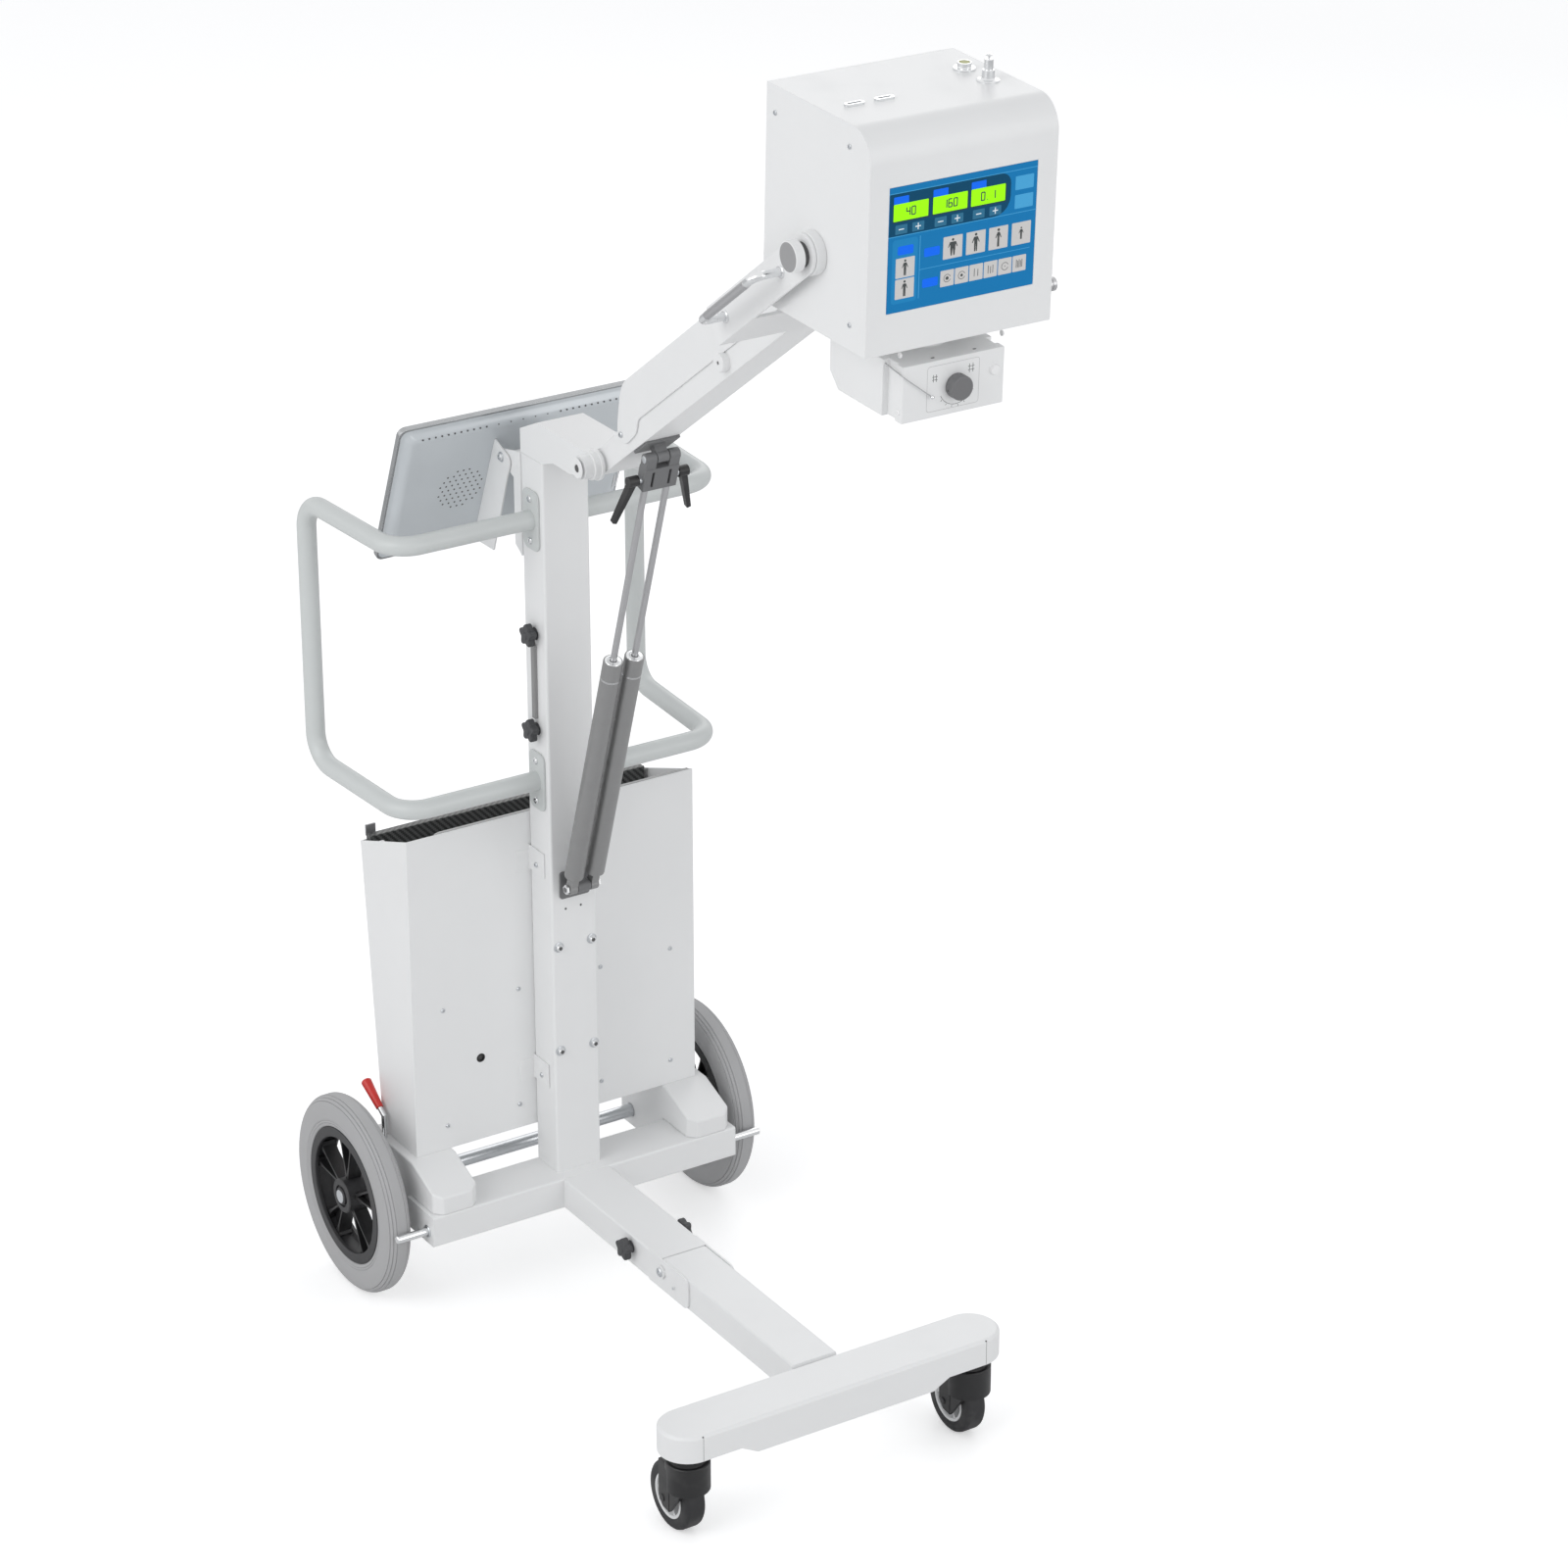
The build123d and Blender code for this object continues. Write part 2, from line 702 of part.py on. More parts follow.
# Rear wheels: a ribbed grey tyre on a black spoked wheel
tyre_inner = rim_radius - 1
spoke_inner = hub_radius - 4
spoke_outer = rim_radius - rim_depth + 2
spoke_length = spoke_outer - spoke_inner
half = tyre_width / 2
tyre_section = ((tyre_inner + seat_gap, half - 3), (tyre_inner + 5, half - 1), (tyre_radius - tyre_shoulder, half),
                (tyre_radius - 5, half - 4), (tyre_radius, tyre_crown_half))
for side, tyre_name, rim_name in ((1, "tyre_left", "wheel_left"), (-1, "tyre_right", "wheel_right")):
    middle = side * wheel_half_track
    hub_plane = Plane(origin=(axle_x, middle, tyre_radius), x_dir=(1, 0, 0), z_dir=(0, side, 0))
    with BuildPart() as tyre:
        with BuildSketch(Plane(origin=(axle_x, middle, tyre_radius), x_dir=(1, 0, 0), z_dir=(0, 0, 1))):
            with BuildLine():
                mirrored = [(radius, -y) for radius, y in reversed(tyre_section)]
                Polyline(*tyre_section, *mirrored, close=True)
            make_face()
        revolve(axis=Axis((axle_x, middle, tyre_radius), (0, 1, 0)))
    keep(tyre.part, tyre_name)
    with BuildPart() as rim:
        with BuildSketch(hub_plane.offset(3 - rim_lip - half)):
            Circle(tyre_inner)
            Circle(rim_radius - rim_depth, mode=Mode.SUBTRACT)
        extrude(amount=tyre_width - 6 + 2 * rim_lip)
        with BuildSketch(hub_plane.offset(rim_lip - half - hub_overhang)):
            Circle(hub_radius)
        extrude(amount=tyre_width + 2 * hub_overhang - 2 * rim_lip)
        with BuildSketch(hub_plane.offset(-spoke_depth / 2)):
            with PolarLocations(0, spoke_pairs, start_angle=90):
                for turn in (-spoke_splay, spoke_splay):
                    with Locations(Location((spoke_inner, 0, 0), (0, 0, turn))):
                        Rectangle(spoke_length, spoke_width, align=(Align.MIN, Align.CENTER))
        extrude(amount=spoke_depth)
        with BuildSketch(hub_plane.offset(-tyre_width)):
            Circle(axle_radius + pin_gap)
        extrude(amount=2 * tyre_width, mode=Mode.SUBTRACT)
    keep(rim.part, rim_name)

# Casters: a fixed plate with a stem, a swivelling fork, and a wheel that trails behind it
plate_bottom = front_bar_bottom - caster_plate_thick
stem_bottom = plate_bottom - caster_stem_length
with BuildPart() as caster_plates:
    for side in (-1, 1):
        for radius, base, height in ((caster_plate_radius, plate_bottom, caster_plate_thick),
                                     (caster_stem_radius, stem_bottom, caster_stem_length)):
            with BuildSketch(Plane.XY.offset(base)):
                with Locations((front_bar_x, side * caster_y)):
                    Circle(radius)
            extrude(amount=height)
keep(caster_plates.part, "caster_plates")

caster_axle_x = front_bar_x - caster_trail
head_top_z = plate_bottom - hinge_gap
cheek_inner = caster_width / 2 + caster_gap
cheek_front = caster_axle_x + caster_cheek_ahead
cheek_back = caster_axle_x - caster_cheek_behind
slot_front = front_bar_x + caster_head_radius - caster_front_wall
slot_top = 2 * caster_radius + caster_crown_gap
for side, name in ((1, "caster_left"), (-1, "caster_right")):
    y = side * caster_y
    with BuildPart() as fork:
        with BuildSketch(Plane.XY.offset(head_top_z - caster_shroud_height)):
            with Locations((front_bar_x, y)):
                Circle(caster_head_radius)
        extrude(amount=caster_shroud_height)
        with BuildSketch(across(side_view, y)):
            with BuildLine():
                Polyline((slot_front, 0), (slot_front, slot_top), (cheek_back - 1, slot_top), (cheek_back - 1, 0),
                         close=True)
            make_face()
        extrude(amount=cheek_inner, both=True, mode=Mode.SUBTRACT)
        for cheek_side in (-1, 1):
            with BuildSketch(across(side_view, y + cheek_side * cheek_inner)):
                with BuildLine():
                    tip = caster_radius - caster_cheek_drop
                    Polyline((cheek_front, head_top_z), (cheek_front, tip), (caster_axle_x, tip + 2),
                             (cheek_back, caster_radius), (cheek_back, head_top_z), close=True)
                make_face()
            extrude(amount=outward(side_view, cheek_side, caster_cheek))
        with BuildSketch(Plane.XY.offset(stem_bottom - hinge_gap)):
            with Locations((front_bar_x, y)):
                Circle(caster_stem_radius + pin_gap)
        extrude(amount=caster_stem_length + 2 * hinge_gap, mode=Mode.SUBTRACT)
        with BuildSketch(across(side_view, y)):
            with Locations((caster_axle_x, caster_radius)):
                Circle(caster_bore)
        extrude(amount=cheek_inner + 1, both=True)
    keep(fork.part, name + "_fork")
    axle_line = Plane(origin=(caster_axle_x, y, caster_radius), x_dir=(1, 0, 0), z_dir=(0, 1, 0))
    with BuildPart() as hub:
        for outer, inner, thick in ((caster_hub_radius, caster_hub_radius - caster_rim, caster_width),
                                    (caster_hub_radius - caster_rim + 1, caster_bore, caster_web),
                                    (caster_boss_radius, caster_bore, caster_width)):
            with BuildSketch(axle_line):
                Circle(outer)
                Circle(inner, mode=Mode.SUBTRACT)
            extrude(amount=thick / 2, both=True)
        with BuildSketch(axle_line):
            with PolarLocations((caster_hub_radius + caster_boss_radius) / 2 - 1, caster_spokes):
                Rectangle(caster_hub_radius - caster_boss_radius, caster_spoke_width)
        extrude(amount=caster_width / 2 - 3, both=True)
        with BuildSketch(axle_line):
            Circle(caster_bore + pin_gap)
        extrude(amount=caster_width, both=True, mode=Mode.SUBTRACT)
    keep(hub.part, name + "_hub")
    with BuildPart() as tread:
        with BuildSketch(axle_line):
            Circle(caster_radius)
            Circle(caster_hub_radius + seat_gap, mode=Mode.SUBTRACT)
        extrude(amount=caster_width / 2, both=True)
        chamfer(tread.edges().filter_by(GeomType.CIRCLE).group_by(SortBy.RADIUS)[-1], caster_tyre_edge)
    keep(tread.part, name + "_tyre")

# Arm: a beam from the column's head to the yoke, with a bush round its pivot
with BuildPart() as arm_beam:
    with BuildSketch(arm_side):
        with BuildLine():
            low = Line((0, -arm_under), (arm_end, -arm_under))
            end = Line(low @ 1, (arm_end, arm_over))
            top = Line(end @ 1, (cover_start + 10, arm_over))
            fall = Line(top @ 1, (0, arm_under))
            ThreePointArc(fall @ 1, (-arm_under, 0), low @ 0)
        make_face()
    extrude(amount=arm_half_width, both=True)
    with BuildSketch(arm_side):
        Circle(arm_nose)
    extrude(amount=cheek_half - seat_gap, both=True)
    with BuildSketch(arm_side):
        Circle(arm_pin_radius + pin_gap)
    extrude(amount=cheek_half, both=True, mode=Mode.SUBTRACT)
keep(arm_beam.part, "arm_beam")

# Cover over the arm: a folded channel whose lower edge dips round its first screw
cover_inner = arm_half_width + seat_gap
cover_outer = cover_inner + cover_wall
with BuildPart() as arm_cover:
    with BuildSketch(arm_side):
        with BuildLine():
            ear_low = cover_low - cover_ear_radius
            dip_end = cover_ear_along + cover_ear_flat
            dip = Line((cover_ear_along, ear_low), (dip_end, ear_low + cover_ear_slope))
            swing = Spline(dip @ 1, (dip_end + cover_swing * 0.43, cover_low - 2), (dip_end + cover_swing, cover_low),
                           tangents=((1, 0.1), (1, 0)))
            low = Line(swing @ 1, (cover_end, cover_low))
            end = Line(low @ 1, (cover_end, cover_top))
            top = Line(end @ 1, (cover_start + cover_brow, cover_top))
            brow = Spline(top @ 1, (cover_start + cover_brow * 0.44, cover_top - cover_brow_dip),
                          (cover_start, cover_low), tangents=((-1, 0), (-0.6, -1)))
            ThreePointArc(brow @ 1, (cover_ear_along - cover_ear_back, ear_low + cover_ear_lift), dip @ 0)
        make_face()
    extrude(amount=cover_outer, both=True)
    inside_low = -2 * cover_ear_radius
    with BuildSketch(arm_side):
        with Locations((0, inside_low)):
            Rectangle(cover_end + cover_top, cover_top - cover_wall - inside_low, align=(Align.MIN, Align.MIN))
    extrude(amount=cover_inner, both=True, mode=Mode.SUBTRACT)
keep(arm_cover.part, "arm_cover")

# Yoke: two side plates with round ends, joined by a web under the arm
with BuildPart() as yoke:
    for side in (-1, 1):
        with BuildSketch(across(arm_side, side * (yoke_half - yoke_plate))):
            with BuildLine():
                low = Line((yoke_start, -yoke_height), (arm_length, -yoke_height))
                nose = ThreePointArc(low @ 1, (arm_length + yoke_height, 0), (arm_length, yoke_height))
                top = Line(nose @ 1, (yoke_start, yoke_height))
                Line(top @ 1, low @ 0)
            make_face()
            with Locations((arm_length, 0)):
                Circle(tilt_shaft_radius + pin_gap, mode=Mode.SUBTRACT)
        extrude(amount=outward(arm_side, side, yoke_plate))
    with BuildSketch(arm_side):
        with Locations(((yoke_start + yoke_web_end) / 2, yoke_plate / 2 - yoke_height)):
            Rectangle(yoke_web_end - yoke_start, yoke_plate)
    extrude(amount=yoke_half, both=True)
    with BuildSketch(arm_side):
        with Locations(((yoke_start + arm_end) / 2, -(yoke_height - yoke_plate + arm_under) / 2)):
            Rectangle(arm_end - yoke_start, yoke_height - yoke_plate - arm_under)
    extrude(amount=arm_half_width, both=True)
keep(yoke.part, "yoke")

# Chrome pull handle on the yoke's right side plate
foot_low = arm_side.from_local_coords((grip_start, 0, yoke_half))
foot_high = arm_side.from_local_coords((grip_start + grip_pitch, 0, yoke_half))
bend_low = arm_side.from_local_coords((grip_start, 0, yoke_half + grip_stand_off))
bend_high = arm_side.from_local_coords((grip_start + grip_pitch, 0, yoke_half + grip_stand_off))
with BuildPart() as yoke_grip:
    with BuildLine() as route:
        FilletPolyline(foot_low, bend_low, bend_high, foot_high, radius=grip_bend)
    with BuildSketch(Plane(origin=foot_low, z_dir=(0, -1, 0))):
        Circle(grip_tube)
    sweep()
keep(yoke_grip.part, "yoke_grip")

# Hinge plate under the arm, with the middle knuckle of the springs' upper joint
with BuildPart() as spring_clevis:
    with BuildSketch(arm_side):
        with Locations((spring_top_along, -arm_under - clevis_plate / 2)):
            Rectangle(2 * clevis_plate_half, clevis_plate)
    extrude(amount=block_half, both=True)
    with BuildSketch(arm_side):
        with Locations((spring_top_along, -spring_top_below)):
            Circle(knuckle_radius)
        with Locations((spring_top_along, -(arm_under + clevis_plate + spring_top_below) / 2)):
            Rectangle(knuckle_radius * 1.6, spring_top_below - arm_under - clevis_plate)
    extrude(amount=knuckle_half, both=True)
keep(spring_clevis.part, "spring_clevis")

# Bracket on the column's front that carries the springs' lower pin
with BuildPart() as spring_base:
    with BuildSketch(Plane.YZ.offset(column_x + column_half_depth)):
        with Locations((0, spring_foot_height - spring_base_thick)):
            RectangleRounded(*spring_base_plate, spring_base_thick)
    extrude(amount=spring_base_thick)
    with BuildSketch(side_view):
        with BuildLine():
            wall = column_x + column_half_depth + spring_base_thick / 2
            Polyline((wall, spring_foot_height - spring_base_low),
                     (spring_foot_x, spring_foot_height - spring_eye_radius),
                     (spring_foot_x, spring_foot_height + spring_eye_radius),
                     (wall, spring_foot_height + spring_base_high),
                     close=True)
        make_face()
        with Locations((spring_foot_x, spring_foot_height)):
            Circle(spring_eye_radius)
    extrude(amount=spring_pitch / 2 - spring_eye_width / 2 - hinge_gap, both=True)
    with BuildSketch(side_view):
        with Locations((spring_foot_x, spring_foot_height)):
            Circle(spring_pin_radius)
    extrude(amount=spring_pitch / 2 + spring_eye_width, both=True)
keep(spring_base.part, "spring_base")

# Gas springs: two cylinders with flat eyes, bored for their rods
with BuildPart() as spring_cylinders:
    for side in (-1, 1):
        y = side * spring_pitch / 2
        along = Plane(origin=across(spring_side, y).origin, x_dir=(0, 1, 0), z_dir=spring_side.x_dir)
        with BuildSketch(across(spring_side, y)):
            Circle(spring_eye_radius)
            with Locations((spring_tail / 2, 0)):
                Rectangle(spring_tail, 2 * spring_eye_radius - 4)
            Circle(spring_pin_radius + pin_gap, mode=Mode.SUBTRACT)
        extrude(amount=spring_eye_width / 2, both=True)
        with BuildSketch(along.offset(spring_tail - 2)):
            Circle(spring_radius)
        extrude(amount=spring_cap - spring_tail + 2)
        with BuildSketch(along.offset(spring_cap - spring_bore_depth)):
            Circle(spring_rod_radius + pin_gap)
        extrude(amount=spring_bore_depth + 1, mode=Mode.SUBTRACT)
keep(spring_cylinders.part, "spring_cylinders")

# Rods of the gas springs
with BuildPart() as spring_rods:
    for side in (-1, 1):
        y = side * spring_pitch / 2
        along = Plane(origin=across(spring_side, y).origin, x_dir=(0, 1, 0), z_dir=spring_side.x_dir)
        with BuildSketch(along.offset(spring_cap - rod_inside)):
            Circle(spring_rod_radius)
        extrude(amount=spring_length - block_web_bottom - spring_cap + rod_inside)
keep(spring_rods.part, "spring_rods")

# Block that joins the rods' tops and turns on the hinge plate's pin, with a clamping slot beside each rod
block_start = spring_length - block_web_bottom
block_end = spring_length - block_web_top
with BuildPart() as spring_block:
    with BuildSketch(spring_side):
        with Locations(((block_start + block_end) / 2, 0)):
            Rectangle(block_end - block_start, block_depth)
    extrude(amount=block_half, both=True)
    for side in (-1, 1):
        with BuildSketch(across(spring_side, side * (knuckle_half + 1))):
            with Locations((spring_length, 0)):
                Circle(knuckle_radius)
            with Locations((block_end, 0)):
                Rectangle(block_web_top, 2 * knuckle_radius - 1, align=(Align.MIN, Align.CENTER))
        extrude(amount=outward(spring_side, side, block_half - knuckle_half - 1))
        slot_plane = Plane(origin=across(spring_side, side * block_slot_side).origin,
                           x_dir=spring_side.x_dir, z_dir=(0, 1, 0))
        with BuildSketch(slot_plane):
            with Locations(((block_start + block_end) / 2, 0)):
                Rectangle(block_slot_length, 2 * block_depth)
        extrude(amount=block_slot_width / 2, both=True, mode=Mode.SUBTRACT)
keep(spring_block.part, "spring_block")

# Clamp levers at both ends of the block, splayed outwards and tapering to their tips
lever_swing = radians(lever_splay)
with BuildPart() as clamp_levers:
    hub_along = block_start + lever_along
    hub_x, hub_z = (hub_along * spring_side.x_dir.X + spring_foot_x, hub_along * spring_side.x_dir.Z + spring_foot_height)
    for side in (-1, 1):
        for radius, start, stop in ((lever_hub_radius - 2.5, block_half, block_half + lever_neck),
                                    (lever_hub_radius, block_half + lever_neck, block_half + lever_hub_length)):
            with BuildSketch(across(spring_side, side * start)):
                with Locations((hub_along, 0)):
                    Circle(radius)
            extrude(amount=outward(spring_side, side, stop - start))
        root_y = side * (block_half + lever_hub_length - lever_hub_radius)
        down = spring_side.x_dir * -cos(lever_swing) + Vector(0, side * sin(lever_swing), 0)
        with BuildSketch(Plane(origin=(hub_x, root_y, hub_z), x_dir=(spring_side.x_dir.Z, 0, -spring_side.x_dir.X),
                               z_dir=down)):
            Rectangle(lever_arm_width, lever_arm_thick)
        extrude(amount=lever_arm_length, taper=lever_taper)
keep(clamp_levers.part, "clamp_levers")

# Head shell: a box whose front panel bends over into the top, with a pocket for the screen
with BuildPart() as head_shell:
    with BuildSketch(head_side):
        with BuildLine():
            back = Line((-head_half_depth, -head_below), (-head_half_depth, head_above))
            top = Line(back @ 1, (head_half_depth - head_bend, head_above))
            bend = RadiusArc(top @ 1, (head_half_depth, head_above - head_bend), head_bend)
            front = Line(bend @ 1, (head_half_depth, -head_below))
            Line(front @ 1, back @ 0)
        make_face()
    extrude(amount=head_half_width, both=True)
    with BuildSketch(head_face.offset(head_half_depth)):
        with Locations((0, screen_centre)):
            Rectangle(screen_width, screen_height)
    extrude(amount=-screen_recess, mode=Mode.SUBTRACT)
keep(head_shell.part, "head_shell")

# Touch screen in the head's front
with BuildPart() as head_screen:
    with BuildSketch(head_face.offset(head_half_depth - screen_recess)):
        with Locations((0, screen_centre)):
            Rectangle(screen_width - 2 * seat_gap, screen_height - 2 * seat_gap)
    extrude(amount=screen_thick)
keep(head_screen.part, "head_screen")

# Tilt pivots of the head: a spacer, a shaft through the yoke's plate, and a round knob
with BuildPart() as tilt_pivots:
    for side in (-1, 1):
        stack = ((tilt_spacer_radius, head_half_width, yoke_half - yoke_plate - hinge_gap),
                 (tilt_shaft_radius, yoke_half - yoke_plate - 1, tilt_knob_face - tilt_knob_thick),
                 (tilt_knob_radius, tilt_knob_face - tilt_knob_thick, tilt_knob_face))
        for radius, start, stop in stack:
            with BuildSketch(across(head_side, side * start)):
                Circle(radius)
            extrude(amount=outward(head_side, side, stop - start))
keep(tilt_pivots.part, "tilt_pivots")

# Fittings on the head's top: a stepped spigot and a round socket
head_roof = head_level.offset(head_above)
with BuildPart() as head_fittings:
    for place, steps in ((spigot_place, spigot_steps), (socket_place, socket_steps)):
        base = 0
        for radius, height in steps:
            with BuildSketch(head_roof.offset(base)):
                with Locations(place):
                    Circle(radius)
            extrude(amount=height - base)
            base = height
keep(head_fittings.part, "head_fittings")

# Collimator under the head, on a round neck that it turns about: a chamfered box, a waist and a front plate
collimator_top = -head_below - collimator_gap
collimator_low = collimator_top - collimator_height
face_at = collimator_axis + collimator_front
with BuildPart() as collimator:
    with BuildSketch(head_side):
        with BuildLine():
            start = collimator_axis - collimator_back
            stop = collimator_axis + collimator_step
            Polyline((start, collimator_top), (stop, collimator_top), (stop, collimator_low),
                     (start + collimator_chamfer, collimator_low), (start, collimator_low + collimator_chamfer),
                     close=True)
        make_face()
    extrude(amount=collimator_half_back, both=True)
    for back, front, half in ((stop, face_at - collimator_plate, collimator_half_waist),
                              (face_at - collimator_plate, face_at, collimator_half_front)):
        with BuildSketch(head_side):
            with Locations((back, collimator_low)):
                Rectangle(front - back, collimator_height, align=(Align.MIN, Align.MIN))
        extrude(amount=half, both=True)
    with BuildSketch(head_level.offset(collimator_top)):
        with Locations((collimator_axis, 0)):
            Circle(neck_radius)
    extrude(amount=collimator_gap - hinge_gap)
keep(collimator.part, "collimator")

# Dial on the collimator's front
with BuildPart() as collimator_dial:
    with BuildSketch(head_face.offset(face_at)):
        with Locations((dial_side, collimator_top - collimator_height / 2)):
            Circle(dial_radius)
    extrude(amount=dial_depth)
    chamfer(collimator_dial.edges().filter_by(GeomType.CIRCLE).sort_by(Axis.X)[-1], dial_edge)
keep(collimator_dial.part, "collimator_dial")

# Monitor: a thin rim with the glass on its back, and a shallow pan in front that narrows towards the column
monitor_middle = monitor_face_above - monitor_height / 2


def monitor_plane(back):
    """Give the plane that is parallel to the screen at a distance behind the monitor's pivot."""
    return Plane(origin=monitor_side.from_local_coords((back, monitor_middle, 0)), x_dir=(0, 1, 0),
                 z_dir=monitor_side.x_dir)


rim_back = monitor_face_back - monitor_glass
pan_back = rim_back - monitor_rim
case_front = pan_back - monitor_pan
with BuildPart() as monitor_case:
    with BuildSketch(monitor_plane(pan_back)):
        RectangleRounded(monitor_width, monitor_height, monitor_corner)
    extrude(amount=monitor_rim)
    with BuildSketch(monitor_plane(pan_back)):
        RectangleRounded(monitor_width - 2 * monitor_pan_inset, monitor_height - 2 * monitor_pan_inset, monitor_corner)
    extrude(amount=-monitor_pan, taper=monitor_pan_taper)
keep(monitor_case.part, "monitor_case")

with BuildPart() as monitor_screen:
    with BuildSketch(monitor_plane(rim_back)):
        Rectangle(monitor_width - 2 * monitor_screen_border, monitor_height - 2 * monitor_screen_border)
    extrude(amount=monitor_glass)
keep(monitor_screen.part, "monitor_screen")

# Long ears on the monitor's front that turn on the bracket's pins
with BuildPart() as monitor_ears:
    for side in (-1, 1):
        with BuildSketch(across(monitor_side, side * (ear_half - ear_thick))) as ear:
            with BuildLine():
                Polyline((case_front, ear_above), (-ear_ahead, ear_above), (-ear_ahead - ear_lean, -ear_length),
                         (case_front, -ear_length - ear_ahead), close=True)
            make_face()
            fillet(ear.vertices().sort_by_distance((-ear_ahead, ear_above))[0], ear_corner)
            Circle(ear_pin + pin_gap, mode=Mode.SUBTRACT)
        extrude(amount=outward(monitor_side, side, ear_thick))
keep(monitor_ears.part, "monitor_ears")

# Bracket on the column's back that carries the monitor: a channel with a lug on each side
with BuildPart() as monitor_bracket:
    for side in (-1, 1):
        with BuildSketch(across(side_view, side * (monitor_bracket_half - ear_thick))):
            with BuildLine():
                lip = column_back_x - monitor_bracket_depth
                top = monitor_pivot_height + monitor_bracket_above
                low = monitor_pivot_height - monitor_bracket_below
                upper = Polyline((column_back_x, low), (column_back_x, top), (lip, top - ear_thick),
                                 (monitor_pivot_x, monitor_pivot_height + monitor_lug))
                lug = ThreePointArc(upper @ 1, (monitor_pivot_x - monitor_lug, monitor_pivot_height),
                                    (monitor_pivot_x, monitor_pivot_height - monitor_lug))
                Polyline(lug @ 1, (lip, monitor_pivot_height - 2 * monitor_lug), (lip, low + ear_corner), upper @ 0)
            make_face()
        extrude(amount=outward(side_view, side, ear_thick))
    with BuildSketch(Plane.YZ.offset(column_back_x - ear_thick)):
        with Locations((0, low)):
            Rectangle(2 * monitor_bracket_half, top - low, align=(Align.CENTER, Align.MIN))
    extrude(amount=ear_thick)
    with BuildSketch(side_view):
        with Locations((monitor_pivot_x, monitor_pivot_height)):
            Circle(ear_pin)
    extrude(amount=ear_half + ear_thick, both=True)
keep(monitor_bracket.part, "monitor_bracket")
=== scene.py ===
"""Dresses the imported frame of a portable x-ray machine.

Every length in a class below is in millimetres, as on a drawing, and becomes metres where a mesh is
made. +X points forwards to the casters, +Y to the left of someone who pushes the machine, +Z up.
"""
import json
import logging
import math
from dataclasses import dataclass
from enum import Enum
from typing import Iterable, Optional, Sequence

import bmesh
import bpy
from mathutils import Matrix, Vector

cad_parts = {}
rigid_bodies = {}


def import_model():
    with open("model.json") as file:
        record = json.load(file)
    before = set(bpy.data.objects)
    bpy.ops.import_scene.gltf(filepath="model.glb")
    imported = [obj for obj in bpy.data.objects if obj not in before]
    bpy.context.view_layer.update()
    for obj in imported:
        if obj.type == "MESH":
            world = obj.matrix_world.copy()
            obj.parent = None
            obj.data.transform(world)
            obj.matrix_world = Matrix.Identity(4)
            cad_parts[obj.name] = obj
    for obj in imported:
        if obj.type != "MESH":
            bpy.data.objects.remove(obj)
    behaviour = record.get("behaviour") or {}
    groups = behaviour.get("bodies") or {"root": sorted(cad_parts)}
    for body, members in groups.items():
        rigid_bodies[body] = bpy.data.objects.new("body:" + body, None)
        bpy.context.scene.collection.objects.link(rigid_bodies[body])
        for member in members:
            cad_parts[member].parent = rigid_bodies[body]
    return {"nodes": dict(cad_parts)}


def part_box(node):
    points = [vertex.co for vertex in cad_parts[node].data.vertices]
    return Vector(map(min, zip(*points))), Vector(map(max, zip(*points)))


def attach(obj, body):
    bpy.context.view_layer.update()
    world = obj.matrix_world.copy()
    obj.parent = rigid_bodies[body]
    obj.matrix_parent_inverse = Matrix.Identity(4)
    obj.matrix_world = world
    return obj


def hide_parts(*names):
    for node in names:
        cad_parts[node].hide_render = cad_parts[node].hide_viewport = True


LOG = logging.getLogger("xray_machine")
MM = 0.001
Point = tuple[float, float]
Spot = tuple[float, float, float]
Colour = tuple[float, float, float]
Socket = bpy.types.NodeSocket
AHEAD = Vector((1, 0, 0))
LEFT = Vector((0, 1, 0))
UP = Vector((0, 0, 1))
BUMP_STRENGTH = 0.6
COAT_ROUGHNESS = 0.08
LIT_SPECULAR = 0.12


class Side(Enum):
    """The two sides of the machine, by the sign of their Y."""

    LEFT = 1
    RIGHT = -1

    @property
    def out(self) -> Vector:
        """The way that a face on this side looks."""
        return LEFT * self.value


@dataclass(frozen=True)
class View:
    """A drawing plane along the machine: u and v lie in it, and y is the machine's own Y.

    Attributes:
        x: where the plane's origin is, along the machine.
        z: the origin's height.
        turn: how far u is turned up from +X, in degrees.
        flip: whether u runs backwards, as on a piece that faces the rear.
    """

    x: float = 0.0
    z: float = 0.0
    turn: float = 0.0
    flip: bool = False

    def along(self) -> Vector:
        """The way u runs."""
        c, s = math.cos(math.radians(self.turn)), math.sin(math.radians(self.turn))
        return Vector((-c if self.flip else c, 0, s))

    def up(self) -> Vector:
        """The way v runs."""
        c, s = math.cos(math.radians(self.turn)), math.sin(math.radians(self.turn))
        return Vector((s if self.flip else -s, 0, c))

    def at(self, u: float, v: float, y: float = 0.0) -> Vector:
        """Turns a drawn point, y to the left of the machine's middle, into a place in metres."""
        place = Vector((self.x, y, self.z)) + self.along() * u + self.up() * v
        return place * MM


